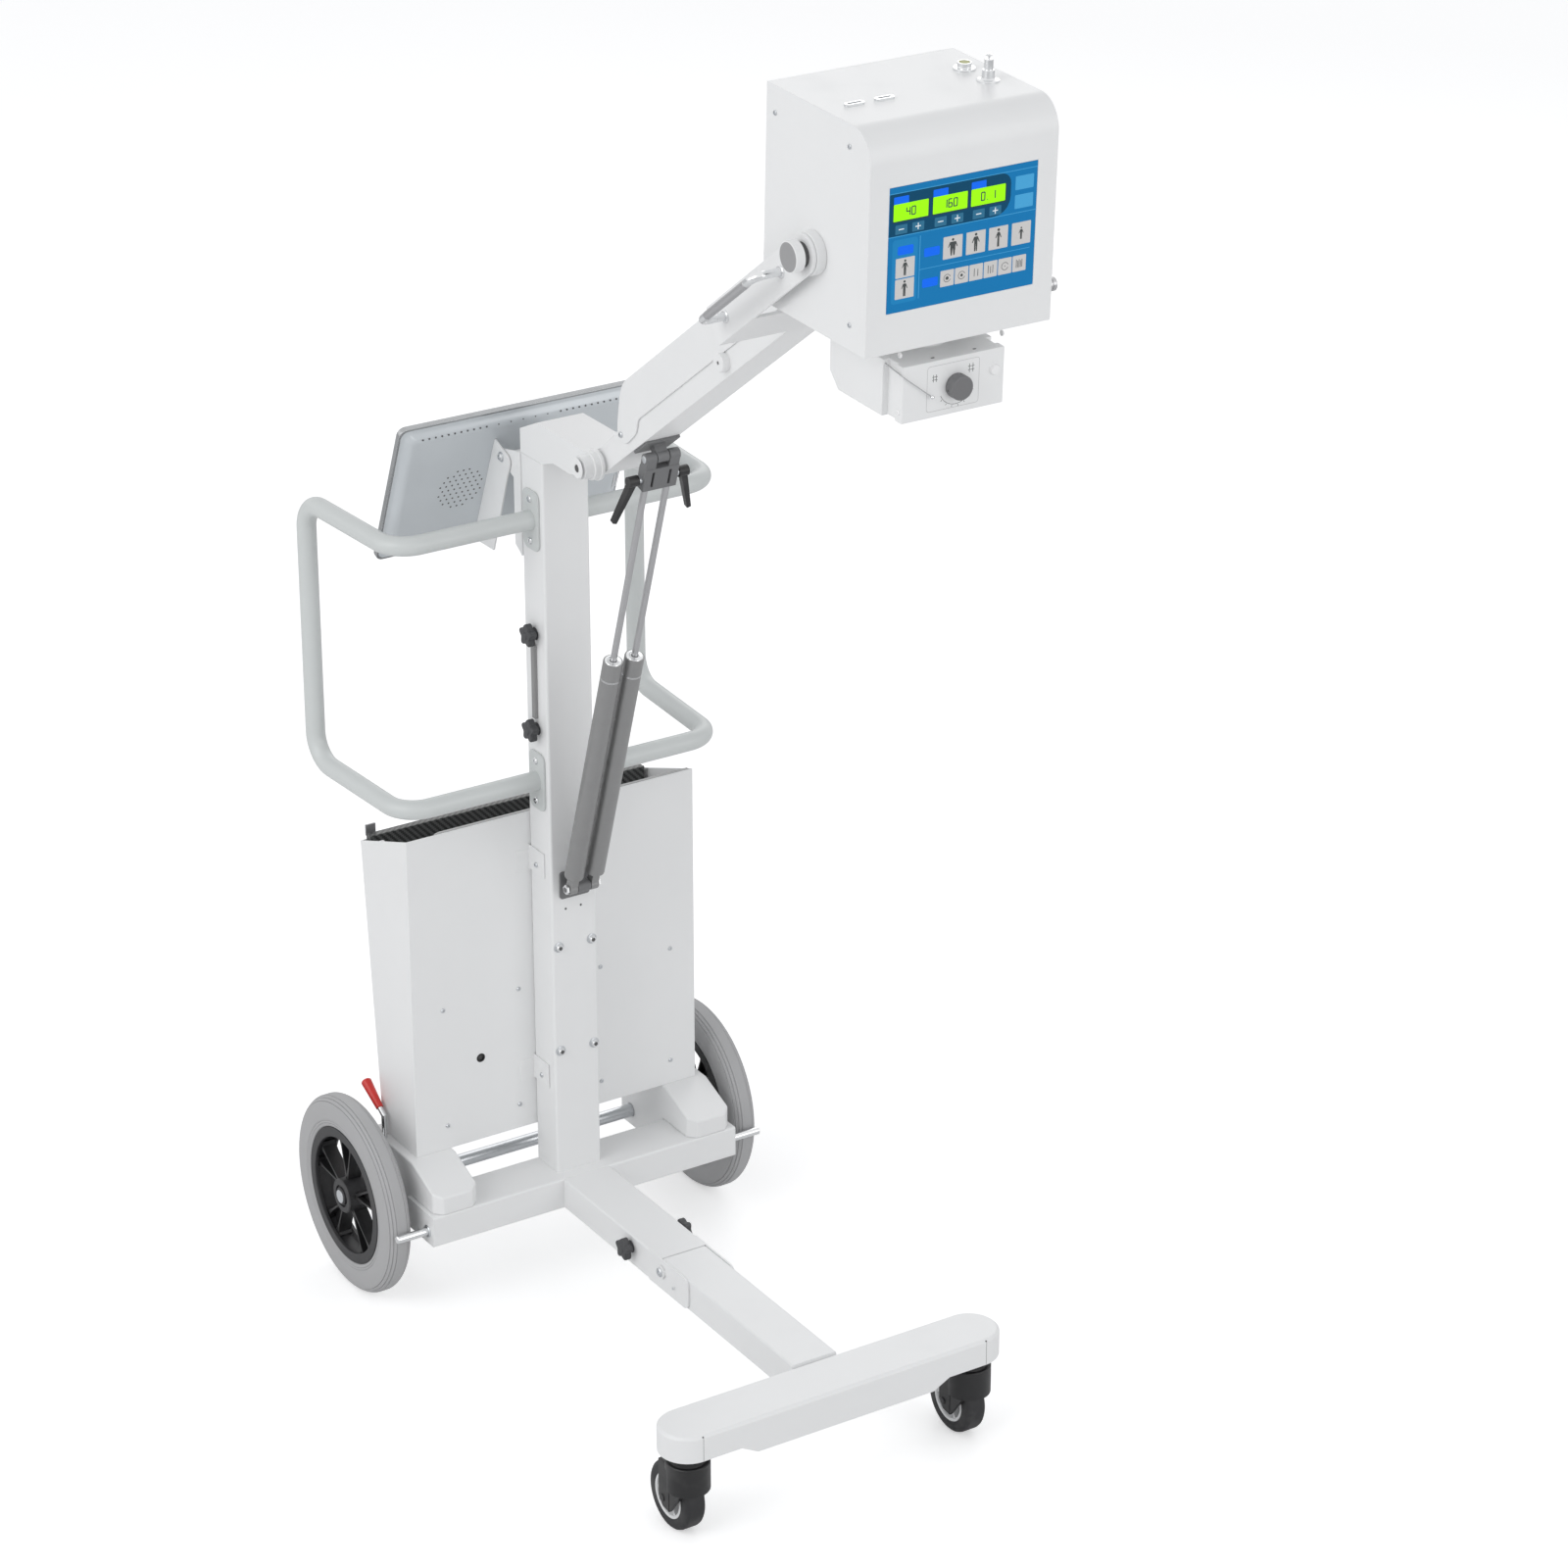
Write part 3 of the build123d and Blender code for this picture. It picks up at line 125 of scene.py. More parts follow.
@dataclass(frozen=True)
class Layout:
    """The driving places of the machine, the same as in the part's source."""

    column_x: float = -354.154
    axle_back: float = 123.5
    tyre_radius: float = 150.0
    arm_pivot_ahead: float = 173.5
    arm_pivot_height: float = 1330.0
    arm_angle: float = 36.3
    arm_length: float = 857.5
    spring_foot_ahead: float = 53.5
    spring_foot_height: float = 645.0
    spring_top_along: float = 115.0
    spring_top_below: float = 34.0
    head_pitch: float = 2.2
    monitor_pivot_back: float = 75.0
    monitor_pivot_height: float = 1263.0
    monitor_tilt: float = 22.0
    front_bar_ahead: float = 707.5

    @property
    def level(self) -> View:
        """The plane whose u starts at the column's middle and whose v starts at the floor."""
        return View(self.column_x, 0.0)

    @property
    def arm(self) -> View:
        """The plane along the arm, from its pivot."""
        return View(self.column_x + self.arm_pivot_ahead, self.arm_pivot_height, self.arm_angle)

    @property
    def head(self) -> View:
        """The plane along the head, from the pivot it tilts about."""
        place = self.arm.at(self.arm_length, 0) / MM
        return View(place.x, place.z, -self.head_pitch)

    @property
    def spring_pins(self) -> tuple[Vector, Vector]:
        """The springs' lower and upper pins, in metres."""
        return (self.level.at(self.spring_foot_ahead, self.spring_foot_height),
                self.arm.at(self.spring_top_along, -self.spring_top_below))

    @property
    def spring(self) -> View:
        """The plane along the gas springs, from their lower pin."""
        foot, top = (pin / MM for pin in self.spring_pins)
        return View(foot.x, foot.z, math.degrees(math.atan2(top.z - foot.z, top.x - foot.x)))

    @property
    def spring_length(self) -> float:
        """The distance between the springs' two pins."""
        foot, top = self.spring_pins
        return (top - foot).length / MM

    @property
    def monitor(self) -> View:
        """The plane across the monitor, from its pivot; u runs to its glass, at the back."""
        return View(self.column_x - self.monitor_pivot_back, self.monitor_pivot_height, self.monitor_tilt,
                    True)


LAYOUT = Layout()


class Nodes:
    """A shader or geometry node tree under construction."""

    def __init__(self, tree: bpy.types.NodeTree) -> None:
        """Takes the tree that the nodes go in."""
        self.tree = tree

    def add(self, kind: str, inputs: Optional[dict] = None, **settings: object) -> bpy.types.Node:
        """Adds one node, sets its own settings, and feeds its inputs.

        Args:
            kind: the node's type.
            inputs: a value, or a socket to link, for each input by name or number.
            settings: the node's own properties.

        Returns:
            The node.
        """
        node = self.tree.nodes.new(kind)
        for name, value in settings.items():
            setattr(node, name, value)
        for name, value in (inputs or {}).items():
            self.feed(node.inputs[name], value)
        return node

    def feed(self, socket: Socket, value: object) -> None:
        """Links a socket, or sets it to a plain value.

        Args:
            socket: the input.
            value: what it gets, a socket or a value.
        """
        if isinstance(value, Socket):
            self.tree.links.new(value, socket)
        else:
            socket.default_value = value

    def math(self, operation: str, *values: object) -> Socket:
        """Adds a Math node that works on sockets or numbers, and gives its result."""
        return self.add("ShaderNodeMath", dict(enumerate(values)), operation=operation).outputs[0]

    def mix(self, factor: object, low: object, high: object) -> Socket:
        """Mixes two colours.

        Args:
            factor: how much of the second there is.
            low: the first colour.
            high: the second colour.

        Returns:
            The mixed colour.
        """
        node = self.add("ShaderNodeMix", data_type="RGBA")
        for name, value in (("Factor_Float", factor), ("A_Color", low), ("B_Color", high)):
            self.feed(next(s for s in node.inputs if s.identifier == name), value)
        return next(s for s in node.outputs if s.identifier == "Result_Color")


class Effect(Enum):
    """The surface effects that finishes share, each one shader node group."""

    PAINT = "Paint skin"
    BRUSHED = "Brushed metal"
    MOULDED = "Moulded grain"
    WEAVE = "Twill weave"


class EffectGroup:
    """One effect's shader node group, with the sockets that every effect has."""

    sockets = (
        ("Colour", "INPUT", "NodeSocketColor"), ("Roughness", "INPUT", "NodeSocketFloat"),
        ("Grain size", "INPUT", "NodeSocketFloat"), ("Marks", "INPUT", "NodeSocketFloat"),
        ("Colour", "OUTPUT", "NodeSocketColor"), ("Roughness", "OUTPUT", "NodeSocketFloat"),
        ("Height", "OUTPUT", "NodeSocketFloat"))

    def __init__(self, effect: Effect) -> None:
        """Builds an effect's group.

        Args:
            effect: the effect.
        """
        self.tree = bpy.data.node_groups.new(effect.value, "ShaderNodeTree")
        for name, way, kind in self.sockets:
            self.tree.interface.new_socket(name=name, in_out=way, socket_type=kind)
        self.nodes = Nodes(self.tree)
        given = self.nodes.add("NodeGroupInput").outputs
        self.colour, self.roughness, self.marks = given["Colour"], given["Roughness"], given["Marks"]
        self.fine = self.nodes.math("DIVIDE", 1.0, given["Grain size"])
        self.place = self.nodes.add("ShaderNodeTexCoord").outputs["Object"]
        build = {Effect.PAINT: self._paint, Effect.BRUSHED: self._brushed,
                 Effect.MOULDED: self._moulded, Effect.WEAVE: self._weave}[effect]
        colour, roughness, height = build()
        self.nodes.add("NodeGroupOutput", {"Colour": colour, "Roughness": roughness, "Height": height})

    @classmethod
    def of(cls, effect: Effect) -> bpy.types.NodeTree:
        """Returns an effect's group, built at its first use."""
        return bpy.data.node_groups.get(effect.value) or cls(effect).tree

    def _noise(self, scale: object, detail: float, place: Optional[Socket] = None) -> Socket:
        """Adds fractal noise on the piece's own coordinates."""
        inputs = {"Vector": self.place if place is None else place, "Scale": scale, "Detail": detail}
        return self.nodes.add("ShaderNodeTexNoise", inputs).outputs[0]

    def _ramp(self, value: Socket, low: float, high: float, first: float = 0.0, last: float = 1.0) -> Socket:
        """Stretches a value from one range to another, clamped."""
        return self.nodes.add("ShaderNodeMapRange", {0: value, 1: low, 2: high, 3: first, 4: last}).outputs[0]

    def _darker(self, amount: float) -> Socket:
        """Gives the finish's colour turned down in value."""
        return self.nodes.add("ShaderNodeHueSaturation", {"Color": self.colour, "Value": amount}).outputs[0]

    def _paint(self) -> tuple:
        """Powder coat: a fine peel, faint clouding, and a few duller handling marks.

        Returns:
            The colour, the roughness and the height.
        """
        calc = self.nodes.math
        cloud = self._ramp(self._noise(7.0, 3.0), 0.3, 0.7)
        marks = calc("MULTIPLY", self._ramp(self._noise(16.0, 6.0), 0.56, 0.72), self.marks)
        tone = self.nodes.mix(cloud, self._darker(0.985), self.colour)
        colour = self.nodes.mix(calc("MULTIPLY", marks, 0.35), tone, self._darker(0.93))
        rough = calc("ADD", self.roughness, calc("MULTIPLY", marks, 0.16))
        return colour, rough, self._noise(self.fine, 2.0)

    def _brushed(self) -> tuple:
        """Drawn metal: fine streaks round the piece, with a little staining.

        Returns:
            The colour, the roughness and the height.
        """
        stretched = self.nodes.add("ShaderNodeMapping", {"Vector": self.place, "Scale": (1.0, 0.06, 1.0)})
        streak = self._noise(self.fine, 4.0, stretched.outputs[0])
        stain = self.nodes.math("MULTIPLY", self._ramp(self._noise(40.0, 5.0), 0.5, 0.8), self.marks)
        spread = self._ramp(streak, 0.3, 0.7, -0.05, 0.08)
        return (self.nodes.mix(stain, self.colour, self._darker(0.7)),
                self.nodes.math("ADD", self.roughness, spread), streak)

    def _moulded(self) -> tuple:
        """Moulded plastic or rubber: pebbled grain, with dust lying in it.

        Returns:
            The colour, the roughness and the height.
        """
        calc = self.nodes.math
        cells = self.nodes.add("ShaderNodeTexVoronoi", {"Vector": self.place, "Scale": self.fine})
        dust = calc("MULTIPLY", self._ramp(self._noise(22.0, 6.0), 0.5, 0.75), self.marks)
        colour = self.nodes.mix(calc("MULTIPLY", dust, 0.5), self.colour, (0.42, 0.41, 0.39, 1.0))
        rough = calc("ADD", self.roughness, calc("MULTIPLY", dust, 0.25))
        return colour, rough, cells.outputs["Distance"]

    def _weave(self) -> tuple:
        """Twill weave of flat tows that run along the piece's width and height, with painted sheen: the tows
        of one run are painted far darker than the other, and their crowns are painted paler as a painted
        highlight.

        Returns:
            The colour, the roughness and the height.
        """
        calc = self.nodes.math
        axes = self.nodes.add("ShaderNodeSeparateXYZ", {0: self.place}).outputs
        across = calc("MULTIPLY", axes[1], self.fine)
        upward = calc("MULTIPLY", calc("ADD", axes[2], axes[0]), self.fine)
        step = calc("ADD", calc("FLOOR", across), calc("FLOOR", upward))
        over = calc("LESS_THAN", calc("FLOORED_MODULO", step, 4.0), 2.0)
        warp = calc("MULTIPLY", over, calc("PINGPONG", across, 0.5))
        weft = calc("MULTIPLY", calc("SUBTRACT", 1.0, over), calc("PINGPONG", upward, 0.5))
        height = calc("ADD", warp, weft)
        # painted sheen: the tows that run one way are painted far darker than those that run the other way
        painted_tow_sheen = self.nodes.mix(over, self._darker(0.12), self.colour)
        # painted highlight: each tow's crown is painted paler, as strongly as the finish's marks ask
        colour = self.nodes.mix(calc("MULTIPLY", height, self.marks), painted_tow_sheen, (0.35, 0.36, 0.38, 1.0))
        return colour, self.roughness, height


@dataclass(frozen=True)
class Finish:
    """How one kind of surface looks.

    Attributes:
        name: the finish in plain words.
        slot: the record's material slot that it belongs to; not used.
        colour: its linear colour.
        effect: the shared surface effect it uses.
        roughness: the surface's plain roughness.
        metallic: 1 for bare metal.
        grain: the size of its grain in millimetres.
        relief: how deep the grain is, in millimetres.
        marks: how much wear, stain or dust it carries, from 0 to 1; on the twill weave it sets instead how
            strongly the tows' crowns are painted paler, a painted highlight.
        coat: the strength of a clear coat over it.
        glow: how much of its own colour it gives off, for a lit display.
    """

    name: str
    slot: str
    colour: Colour
    effect: Effect = Effect.PAINT
    roughness: float = 0.35
    metallic: float = 0.0
    grain: float = 1.2
    relief: float = 0.01
    marks: float = 0.3
    coat: float = 0.0
    glow: float = 0.0

    def material(self) -> bpy.types.Material:
        """Gives the finish's material, built at its first use.

        Returns:
            The material.
        """
        known = bpy.data.materials.get(self.name)
        if known:
            return known
        made = bpy.data.materials.new(self.name)
        made.use_nodes = True
        made.diffuse_color = (*self.colour, 1.0)
        nodes = Nodes(made.node_tree)
        shader = made.node_tree.nodes["Principled BSDF"]
        skin = nodes.add("ShaderNodeGroup", node_tree=EffectGroup.of(self.effect))
        for name, value in (("Colour", (*self.colour, 1.0)), ("Roughness", self.roughness),
                            ("Grain size", self.grain * MM), ("Marks", self.marks)):
            skin.inputs[name].default_value = value
        bump = nodes.add("ShaderNodeBump", {
            "Height": skin.outputs["Height"], "Distance": self.relief * MM, "Strength": BUMP_STRENGTH})
        fed = [("Base Color", skin.outputs["Colour"]), ("Roughness", skin.outputs["Roughness"]),
               ("Normal", bump.outputs[0]), ("Metallic", self.metallic), ("Coat Weight", self.coat),
               ("Coat Roughness", COAT_ROUGHNESS), ("Emission Strength", self.glow)]
        if self.glow:
            fed += [("Emission Color", skin.outputs["Colour"]), ("Specular IOR Level", LIT_SPECULAR)]
        for name, value in fed:
            nodes.feed(shader.inputs[name], value)
        return made


def lit(name: str, colour: Colour, marks: float = 0.1, glow: float = 0.25) -> Finish:
    """Gives a finish of the lit display."""
    return Finish(name, "screen_glass", colour, roughness=0.32, relief=0.0, marks=marks, glow=glow)


class Finishes:
    """Every finish of the machine."""

    white = Finish("White powder coat", "white_paint", (0.855, 0.86, 0.86), roughness=0.36, relief=0.012)
    # Dark stand-in laid into holes, bores, recesses and gaps as painted shade, and the dot atop each bar
    # seam.
    seam_and_shade = Finish("Shadow line", "dark_grey_plastic", (0.09, 0.09, 0.09), roughness=0.7, marks=0.1)
    handle = Finish("Handle powder coat", "handle_paint", (0.63, 0.655, 0.648), roughness=0.33, marks=0.5)
    casting = Finish("Grey casting", "grey_casting", (0.17, 0.172, 0.176), roughness=0.48, grain=0.8,
                     relief=0.03)
    cylinder = Finish("Spring cylinder paint", "cylinder_grey", (0.31, 0.31, 0.31), Effect.BRUSHED,
                      roughness=0.38, metallic=0.55, grain=2.0, relief=0.004, marks=0.15)
    zinc = Finish("Zinc plated steel", "zinc_steel", (0.62, 0.64, 0.66), Effect.BRUSHED, roughness=0.3,
                  metallic=1.0, grain=1.5, relief=0.004)
    chrome = Finish("Chrome plate", "chrome", (0.78, 0.79, 0.8), Effect.BRUSHED, roughness=0.12,
                    metallic=1.0, grain=1.5, relief=0.001, marks=0.1)
    satin = Finish("Satin steel", "chrome", (0.5, 0.5, 0.51), Effect.BRUSHED, roughness=0.32,
                   metallic=1.0, grain=1.5, relief=0.003, marks=0.15)
    black = Finish("Black moulded plastic", "black_plastic", (0.012, 0.012, 0.013), Effect.MOULDED,
                   roughness=0.4, grain=0.9, relief=0.03, marks=0.12)
    charcoal = Finish("Charcoal moulded plastic", "black_plastic", (0.026, 0.026, 0.028), Effect.MOULDED,
                      roughness=0.45, grain=0.9, relief=0.02, marks=0.1)
    dark = Finish("Dark grey plastic", "dark_grey_plastic", (0.055, 0.056, 0.06), Effect.MOULDED,
                  roughness=0.5, grain=0.9, relief=0.03, marks=0.15)
    knob = Finish("Grey knob plastic", "dark_grey_plastic", (0.17, 0.17, 0.175), Effect.MOULDED,
                  roughness=0.5, grain=0.8, relief=0.02, marks=0.1)
    inlay = Finish("Grey inlay", "dark_grey_plastic", (0.33, 0.33, 0.335), Effect.MOULDED, roughness=0.45,
                   grain=0.8, relief=0.01, marks=0.1)
    tyre = Finish("Grey tyre rubber", "grey_tyre", (0.43, 0.43, 0.435), Effect.MOULDED, roughness=0.62,
                  grain=1.1, relief=0.04, marks=0.25)
    tread = Finish("Black caster rubber", "black_tyre", (0.018, 0.018, 0.02), Effect.MOULDED,
                   roughness=0.55, grain=1.0, relief=0.03, marks=0.25)
    pale = Finish("Pale grey plastic", "pale_plastic", (0.76, 0.765, 0.77), Effect.MOULDED, roughness=0.4,
                  grain=0.9, relief=0.02, marks=0.2)
    brass = Finish("Yellow insulator", "pale_plastic", (0.42, 0.43, 0.16), Effect.MOULDED, roughness=0.45)
    red = Finish("Red vinyl", "red_plastic", (0.62, 0.018, 0.012), Effect.MOULDED, roughness=0.35,
                 grain=1.2, relief=0.03, marks=0.05, coat=0.2)
    # Its weave is painted sheen, one run of tows far darker than the other, and its marks set a painted
    # highlight on the tows' crowns.
    carbon = Finish("Carbon fibre", "carbon_panel", (0.085, 0.088, 0.087), Effect.WEAVE, roughness=0.4,
                    grain=2.5, relief=0.02, marks=0.03, coat=0.35)
    shell = Finish("Monitor shell paint", "monitor_grey", (0.64, 0.675, 0.7), roughness=0.28,
                   metallic=0.12, grain=0.9, relief=0.008)
    rim = Finish("Monitor edge metal", "monitor_grey", (0.42, 0.43, 0.44), Effect.BRUSHED, roughness=0.28,
                 metallic=0.9, grain=1.0, relief=0.003)
    glass = Finish("Monitor glass", "monitor_glass", (0.008, 0.009, 0.011), roughness=0.1, relief=0.0,
                   marks=0.2, coat=0.8)
    button = Finish("White button", "white_paint", (0.9, 0.9, 0.9), roughness=0.25, relief=0.0, marks=0.1,
                    coat=0.3)
    line = Finish("Pale shadow line", "dark_grey_plastic", (0.3, 0.3, 0.3), roughness=0.7, marks=0.1)
    # Pale grey for the collimator's printed frame line, and painted shade on the bin's folded hem.
    print_and_shade_grey = Finish("Pale printed line", "dark_grey_plastic", (0.5, 0.5, 0.5), roughness=0.5, relief=0.0)
    ink = Finish("Display ink", "screen_glass", (0.05, 0.06, 0.06), roughness=0.2, relief=0.0, marks=0.05)
    glow_blue = lit("Display blue", (0.006, 0.165, 0.4), 0.15)
    glow_panel = lit("Display panel blue", (0.012, 0.2, 0.45))
    glow_light = lit("Display light blue", (0.06, 0.33, 0.6))
    glow_navy = lit("Display navy", (0.002, 0.06, 0.13), 0.15, 0.2)
    glow_shade = lit("Display shadow", (0.0, 0.02, 0.05), 0.05, 0.0)
    glow_key = lit("Display key", (0.03, 0.15, 0.26), glow=0.2)
    glow_tab = lit("Display tab blue", (0.005, 0.13, 0.78), glow=0.3)
    glow_lime = lit("Display lime", (0.33, 0.98, 0.005), 0.05, 0.3)
    glow_tile = lit("Display tile grey", (0.6, 0.59, 0.58), glow=0.12)
    glow_white = lit("Display white", (0.85, 0.9, 0.92), 0.05, 0.2)


def rectangle(left: float, low: float, right: float, top: float) -> list[Point]:
    """Gives an upright rectangle's corners; as a lathe's section it is a plain disc or ring."""
    return [(left, low), (right, low), (right, top), (left, top)]


def mirrored(half: Sequence[Point]) -> list[Point]:
    """Closes half an outline with its mirror image, whose second number is turned round."""
    return [*half, *((a, -b) for a, b in reversed(half))]


def arc(centre: Point, radius: float, start: float, stop: float, steps: int = 8) -> list[Point]:
    """Gives the points of an arc between two angles in degrees, both ends among them."""
    turns = (math.radians(start + (stop - start) * i / steps) for i in range(steps + 1))
    return [(centre[0] + radius * math.cos(t), centre[1] + radius * math.sin(t)) for t in turns]


def rounded(points: Sequence[Point], radii: Sequence[float] | float, steps: int = 6) -> list[Point]:
    """Rounds the corners of a closed outline.

    Args:
        points: the outline's corners.
        radii: one radius for all corners, or one for each.
        steps: how many pieces each rounded corner has.

    Returns:
        The outline with arcs at its corners.
    """
    if not isinstance(radii, Sequence):
        radii = [radii] * len(points)
    made: list[Point] = []
    for i, (corner, radius) in enumerate(zip(points, radii)):
        here = Vector(corner)
        back = (Vector(points[i - 1]) - here).normalized()
        ahead = (Vector(points[(i + 1) % len(points)]) - here).normalized()
        opening = back.angle(ahead)
        if radius < 0.01 or opening > math.pi - 0.02:
            made.append(tuple(here))
            continue
        reach = radius / math.tan(opening / 2)
        middle = here + (back + ahead).normalized() * (radius / math.sin(opening / 2))
        first, last = here + back * reach - middle, here + ahead * reach - middle
        sweep = math.atan2(first.x * last.y - first.y * last.x, first.dot(last))
        for k in range(steps + 1):
            turned = Matrix.Rotation(sweep * k / steps, 2) @ first
            made.append(tuple(middle + turned))
    return made


def bent_route(corners: Sequence[Vector], radius: float, steps: int = 10) -> list[Vector]:
    """Rounds the inner corners of an open route in space.

    Args:
        corners: the route's corners and ends, in metres.
        radius: the bend's radius in millimetres.
        steps: how many pieces each bend has.

    Returns:
        The route's points in metres.
    """
    route = [corners[0]]
    for before, here, after in zip(corners, corners[1:], corners[2:]):
        back, ahead = (before - here).normalized(), (after - here).normalized()
        opening = back.angle(ahead)
        reach = radius * MM / math.tan(opening / 2)
        middle = here + (back + ahead).normalized() * (radius * MM / math.sin(opening / 2))
        first = here + back * reach - middle
        turn = back.cross(ahead).normalized()
        sweep = math.pi - opening
        for k in range(steps + 1):
            route.append(middle + Matrix.Rotation(-sweep * k / steps, 3, turn) @ first)
    route.append(corners[-1])
    return route


def frame_at(origin: Vector, x: Vector, z: Vector) -> Matrix:
    """Makes a frame with a given x and z.

    Args:
        origin: the frame's origin.
        x: the way its x runs.
        z: the way its z runs.

    Returns:
        The frame as a matrix.
    """
    x, z = x.normalized(), z.normalized()
    made = Matrix((x, z.cross(x), z)).transposed().to_4x4()
    made.translation = origin
    return made


class Form:
    """A piece under construction: closed shapes, each with its own finish, in one mesh."""

    def __init__(self, name: str) -> None:
        """Starts an empty piece.

        Args:
            name: the piece's name.
        """
        self.name = name
        self.mesh = bmesh.new()
        self.finishes: list[Finish] = []

    def _merge(self, shape: bmesh.types.BMesh, finish: Finish) -> "Form":
        """Adds a shape's faces to the piece.

        Args:
            shape: the shape, which is used up.
            finish: the finish of its faces.

        Returns:
            This piece.
        """
        if finish not in self.finishes:
            self.finishes.append(finish)
        number = self.finishes.index(finish)
        for face in shape.faces:
            face.material_index = number
        held = bpy.data.meshes.new("held")
        shape.to_mesh(held)
        shape.free()
        self.mesh.from_mesh(held)
        bpy.data.meshes.remove(held)
        return self

    def _take(self, shape: bmesh.types.BMesh, finish: Finish, bevel: float = 0.0, segments: int = 2,
              sharp: float = 25.0) -> "Form":
        """Bevels a closed shape's sharp edges and adds it to the piece.

        Args:
            shape: the shape, which is used up.
            finish: the finish of its faces.
            bevel: the width of its rounded edges in millimetres.
            segments: how many faces round each edge.
            sharp: the angle between faces past which an edge is rounded, in degrees.

        Returns:
            This piece.
        """
        bmesh.ops.recalc_face_normals(shape, faces=shape.faces)
        if bevel:
            limit = math.radians(sharp)
            edges = [e for e in shape.edges if len(e.link_faces) == 2 and e.calc_face_angle(0) > limit]
            bmesh.ops.bevel(shape, geom=edges, offset=bevel * MM, offset_type="OFFSET", segments=segments,
                            profile=0.5, affect="EDGES", clamp_overlap=True)
        return self._merge(shape, finish)

    def _loft(self, rings: Sequence[Sequence[Vector]], finish: Finish, bevel: float, segments: int) -> "Form":
        """Adds a shape with flat ends that runs through rings of points.

        Args:
            rings: each ring's points in metres, all with as many points.
            finish: the finish of its faces.
            bevel: the width of its rounded edges in millimetres.
            segments: how many faces round each edge.

        Returns:
            This piece.
        """
        shape = bmesh.new()
        made = [[shape.verts.new(place) for place in ring] for ring in rings]
        shape.faces.new(made[0])
        shape.faces.new(made[-1])
        count = len(made[0])
        for first, second in zip(made, made[1:]):
            for i in range(count):
                k = (i + 1) % count
                shape.faces.new((first[i], first[k], second[k], second[i]))
        return self._take(shape, finish, bevel, segments)

    def prism(self, outline: Sequence[Point], view: View, low: float, high: float, finish: Finish,
              bevel: float = 0.8) -> "Form":
        """Adds an outline drawn in a side view, made solid between two places across the machine."""
        return self._loft([[view.at(u, v, y) for u, v in outline] for y in (low, high)], finish, bevel, 2)

    def stack(self, frame: Matrix, layers: Sequence[tuple[Sequence[Point], float]], finish: Finish,
              bevel: float = 0.0, segments: int = 2) -> "Form":
        """Adds a shape from layers, each an outline and its place along the z of a frame in millimetres."""
        rings = [[(frame @ Vector((u, v, w))) * MM for u, v in outline] for outline, w in layers]
        return self._loft(rings, finish, bevel, segments)

    def block(self, frame: Matrix, outline: Sequence[Point], depth: float, finish: Finish,
              bevel: float = 0.8, segments: int = 2) -> "Form":
        """Adds an outline in a frame's x and y, made solid along its z; the frame is in millimetres."""
        return self.stack(frame, [(outline, 0), (outline, depth)], finish, bevel, segments)

    def border(self, frame: Matrix, outer: Sequence[Point], inner: Sequence[Point], depth: float,
               finish: Finish) -> "Form":
        """Adds the strip between two outlines with as many points, made solid along a frame's own z.

        Args:
            frame: where the outlines lie, its translation in millimetres.
            outer: the outer outline.
            inner: the inner outline.
            depth: how far it goes along the frame's z.
            finish: the finish of its faces.

        Returns:
            This piece.
        """
        for k in range(len(outer)):
            m = (k + 1) % len(outer)
            self.block(frame, [outer[k], outer[m], inner[m], inner[k]], depth, finish, 0)
        return self

    def lathe(self, profile: Sequence[Point], centre: Vector, axis: Vector, finish: Finish,
              steps: int = 48) -> "Form":
        """Adds a round shape.

        Args:
            profile: radius and place along the axis of each point, from pole to pole, or closed.
            centre: the axis's zero place, in metres.
            axis: the way the axis runs.
            finish: the finish of its faces.
            steps: how many faces go round.

        Returns:
            This piece.
        """
        shape = bmesh.new()
        axis = axis.normalized()
        out = axis.orthogonal().normalized()
        rings = []
        for radius, place in profile:
            spot = centre + axis * place * MM
            if radius <= 0.01:
                rings.append([shape.verts.new(spot)])
                continue
            turns = (Matrix.Rotation(math.tau * i / steps, 3, axis) for i in range(steps))
            rings.append([shape.verts.new(spot + turn @ out * radius * MM) for turn in turns])
        closed = len(rings[0]) > 1
        for first, second in zip(rings, rings[1:] + rings[:1] if closed else rings[1:]):
            for i in range(steps):
                k = (i + 1) % steps
                corners = (first[i % len(first)], first[k % len(first)], second[k % len(second)],
                           second[i % len(second)])
                shape.faces.new(list(dict.fromkeys(corners)))
        return self._take(shape, finish)

    def tube(self, route: Sequence[Vector], radius: float, finish: Finish, sides: int = 5) -> "Form":
        """Adds a round tube with closed ends.

        Args:
            route: the places it runs through, in metres.
            radius: its radius in millimetres.
            finish: the finish of its faces.
            sides: how finely it is rounded.

        Returns:
            This piece.
        """
        curve = bpy.data.curves.new("route", "CURVE")
        curve.dimensions = "3D"
        curve.bevel_depth = radius * MM
        curve.bevel_resolution = sides
        curve.use_fill_caps = True
        line = curve.splines.new("POLY")
        line.points.add(len(route) - 1)
        for point, place in zip(line.points, route):
            point.co = (*place, 1.0)
        carrier = bpy.data.objects.new("route", curve)
        held = bpy.data.meshes.new_from_object(carrier)
        bpy.data.objects.remove(carrier)
        bpy.data.curves.remove(curve)
        shape = bmesh.new()
        shape.from_mesh(held)
        bpy.data.meshes.remove(held)
        bmesh.ops.remove_doubles(shape, verts=shape.verts, dist=1e-6)
        return self._take(shape, finish)

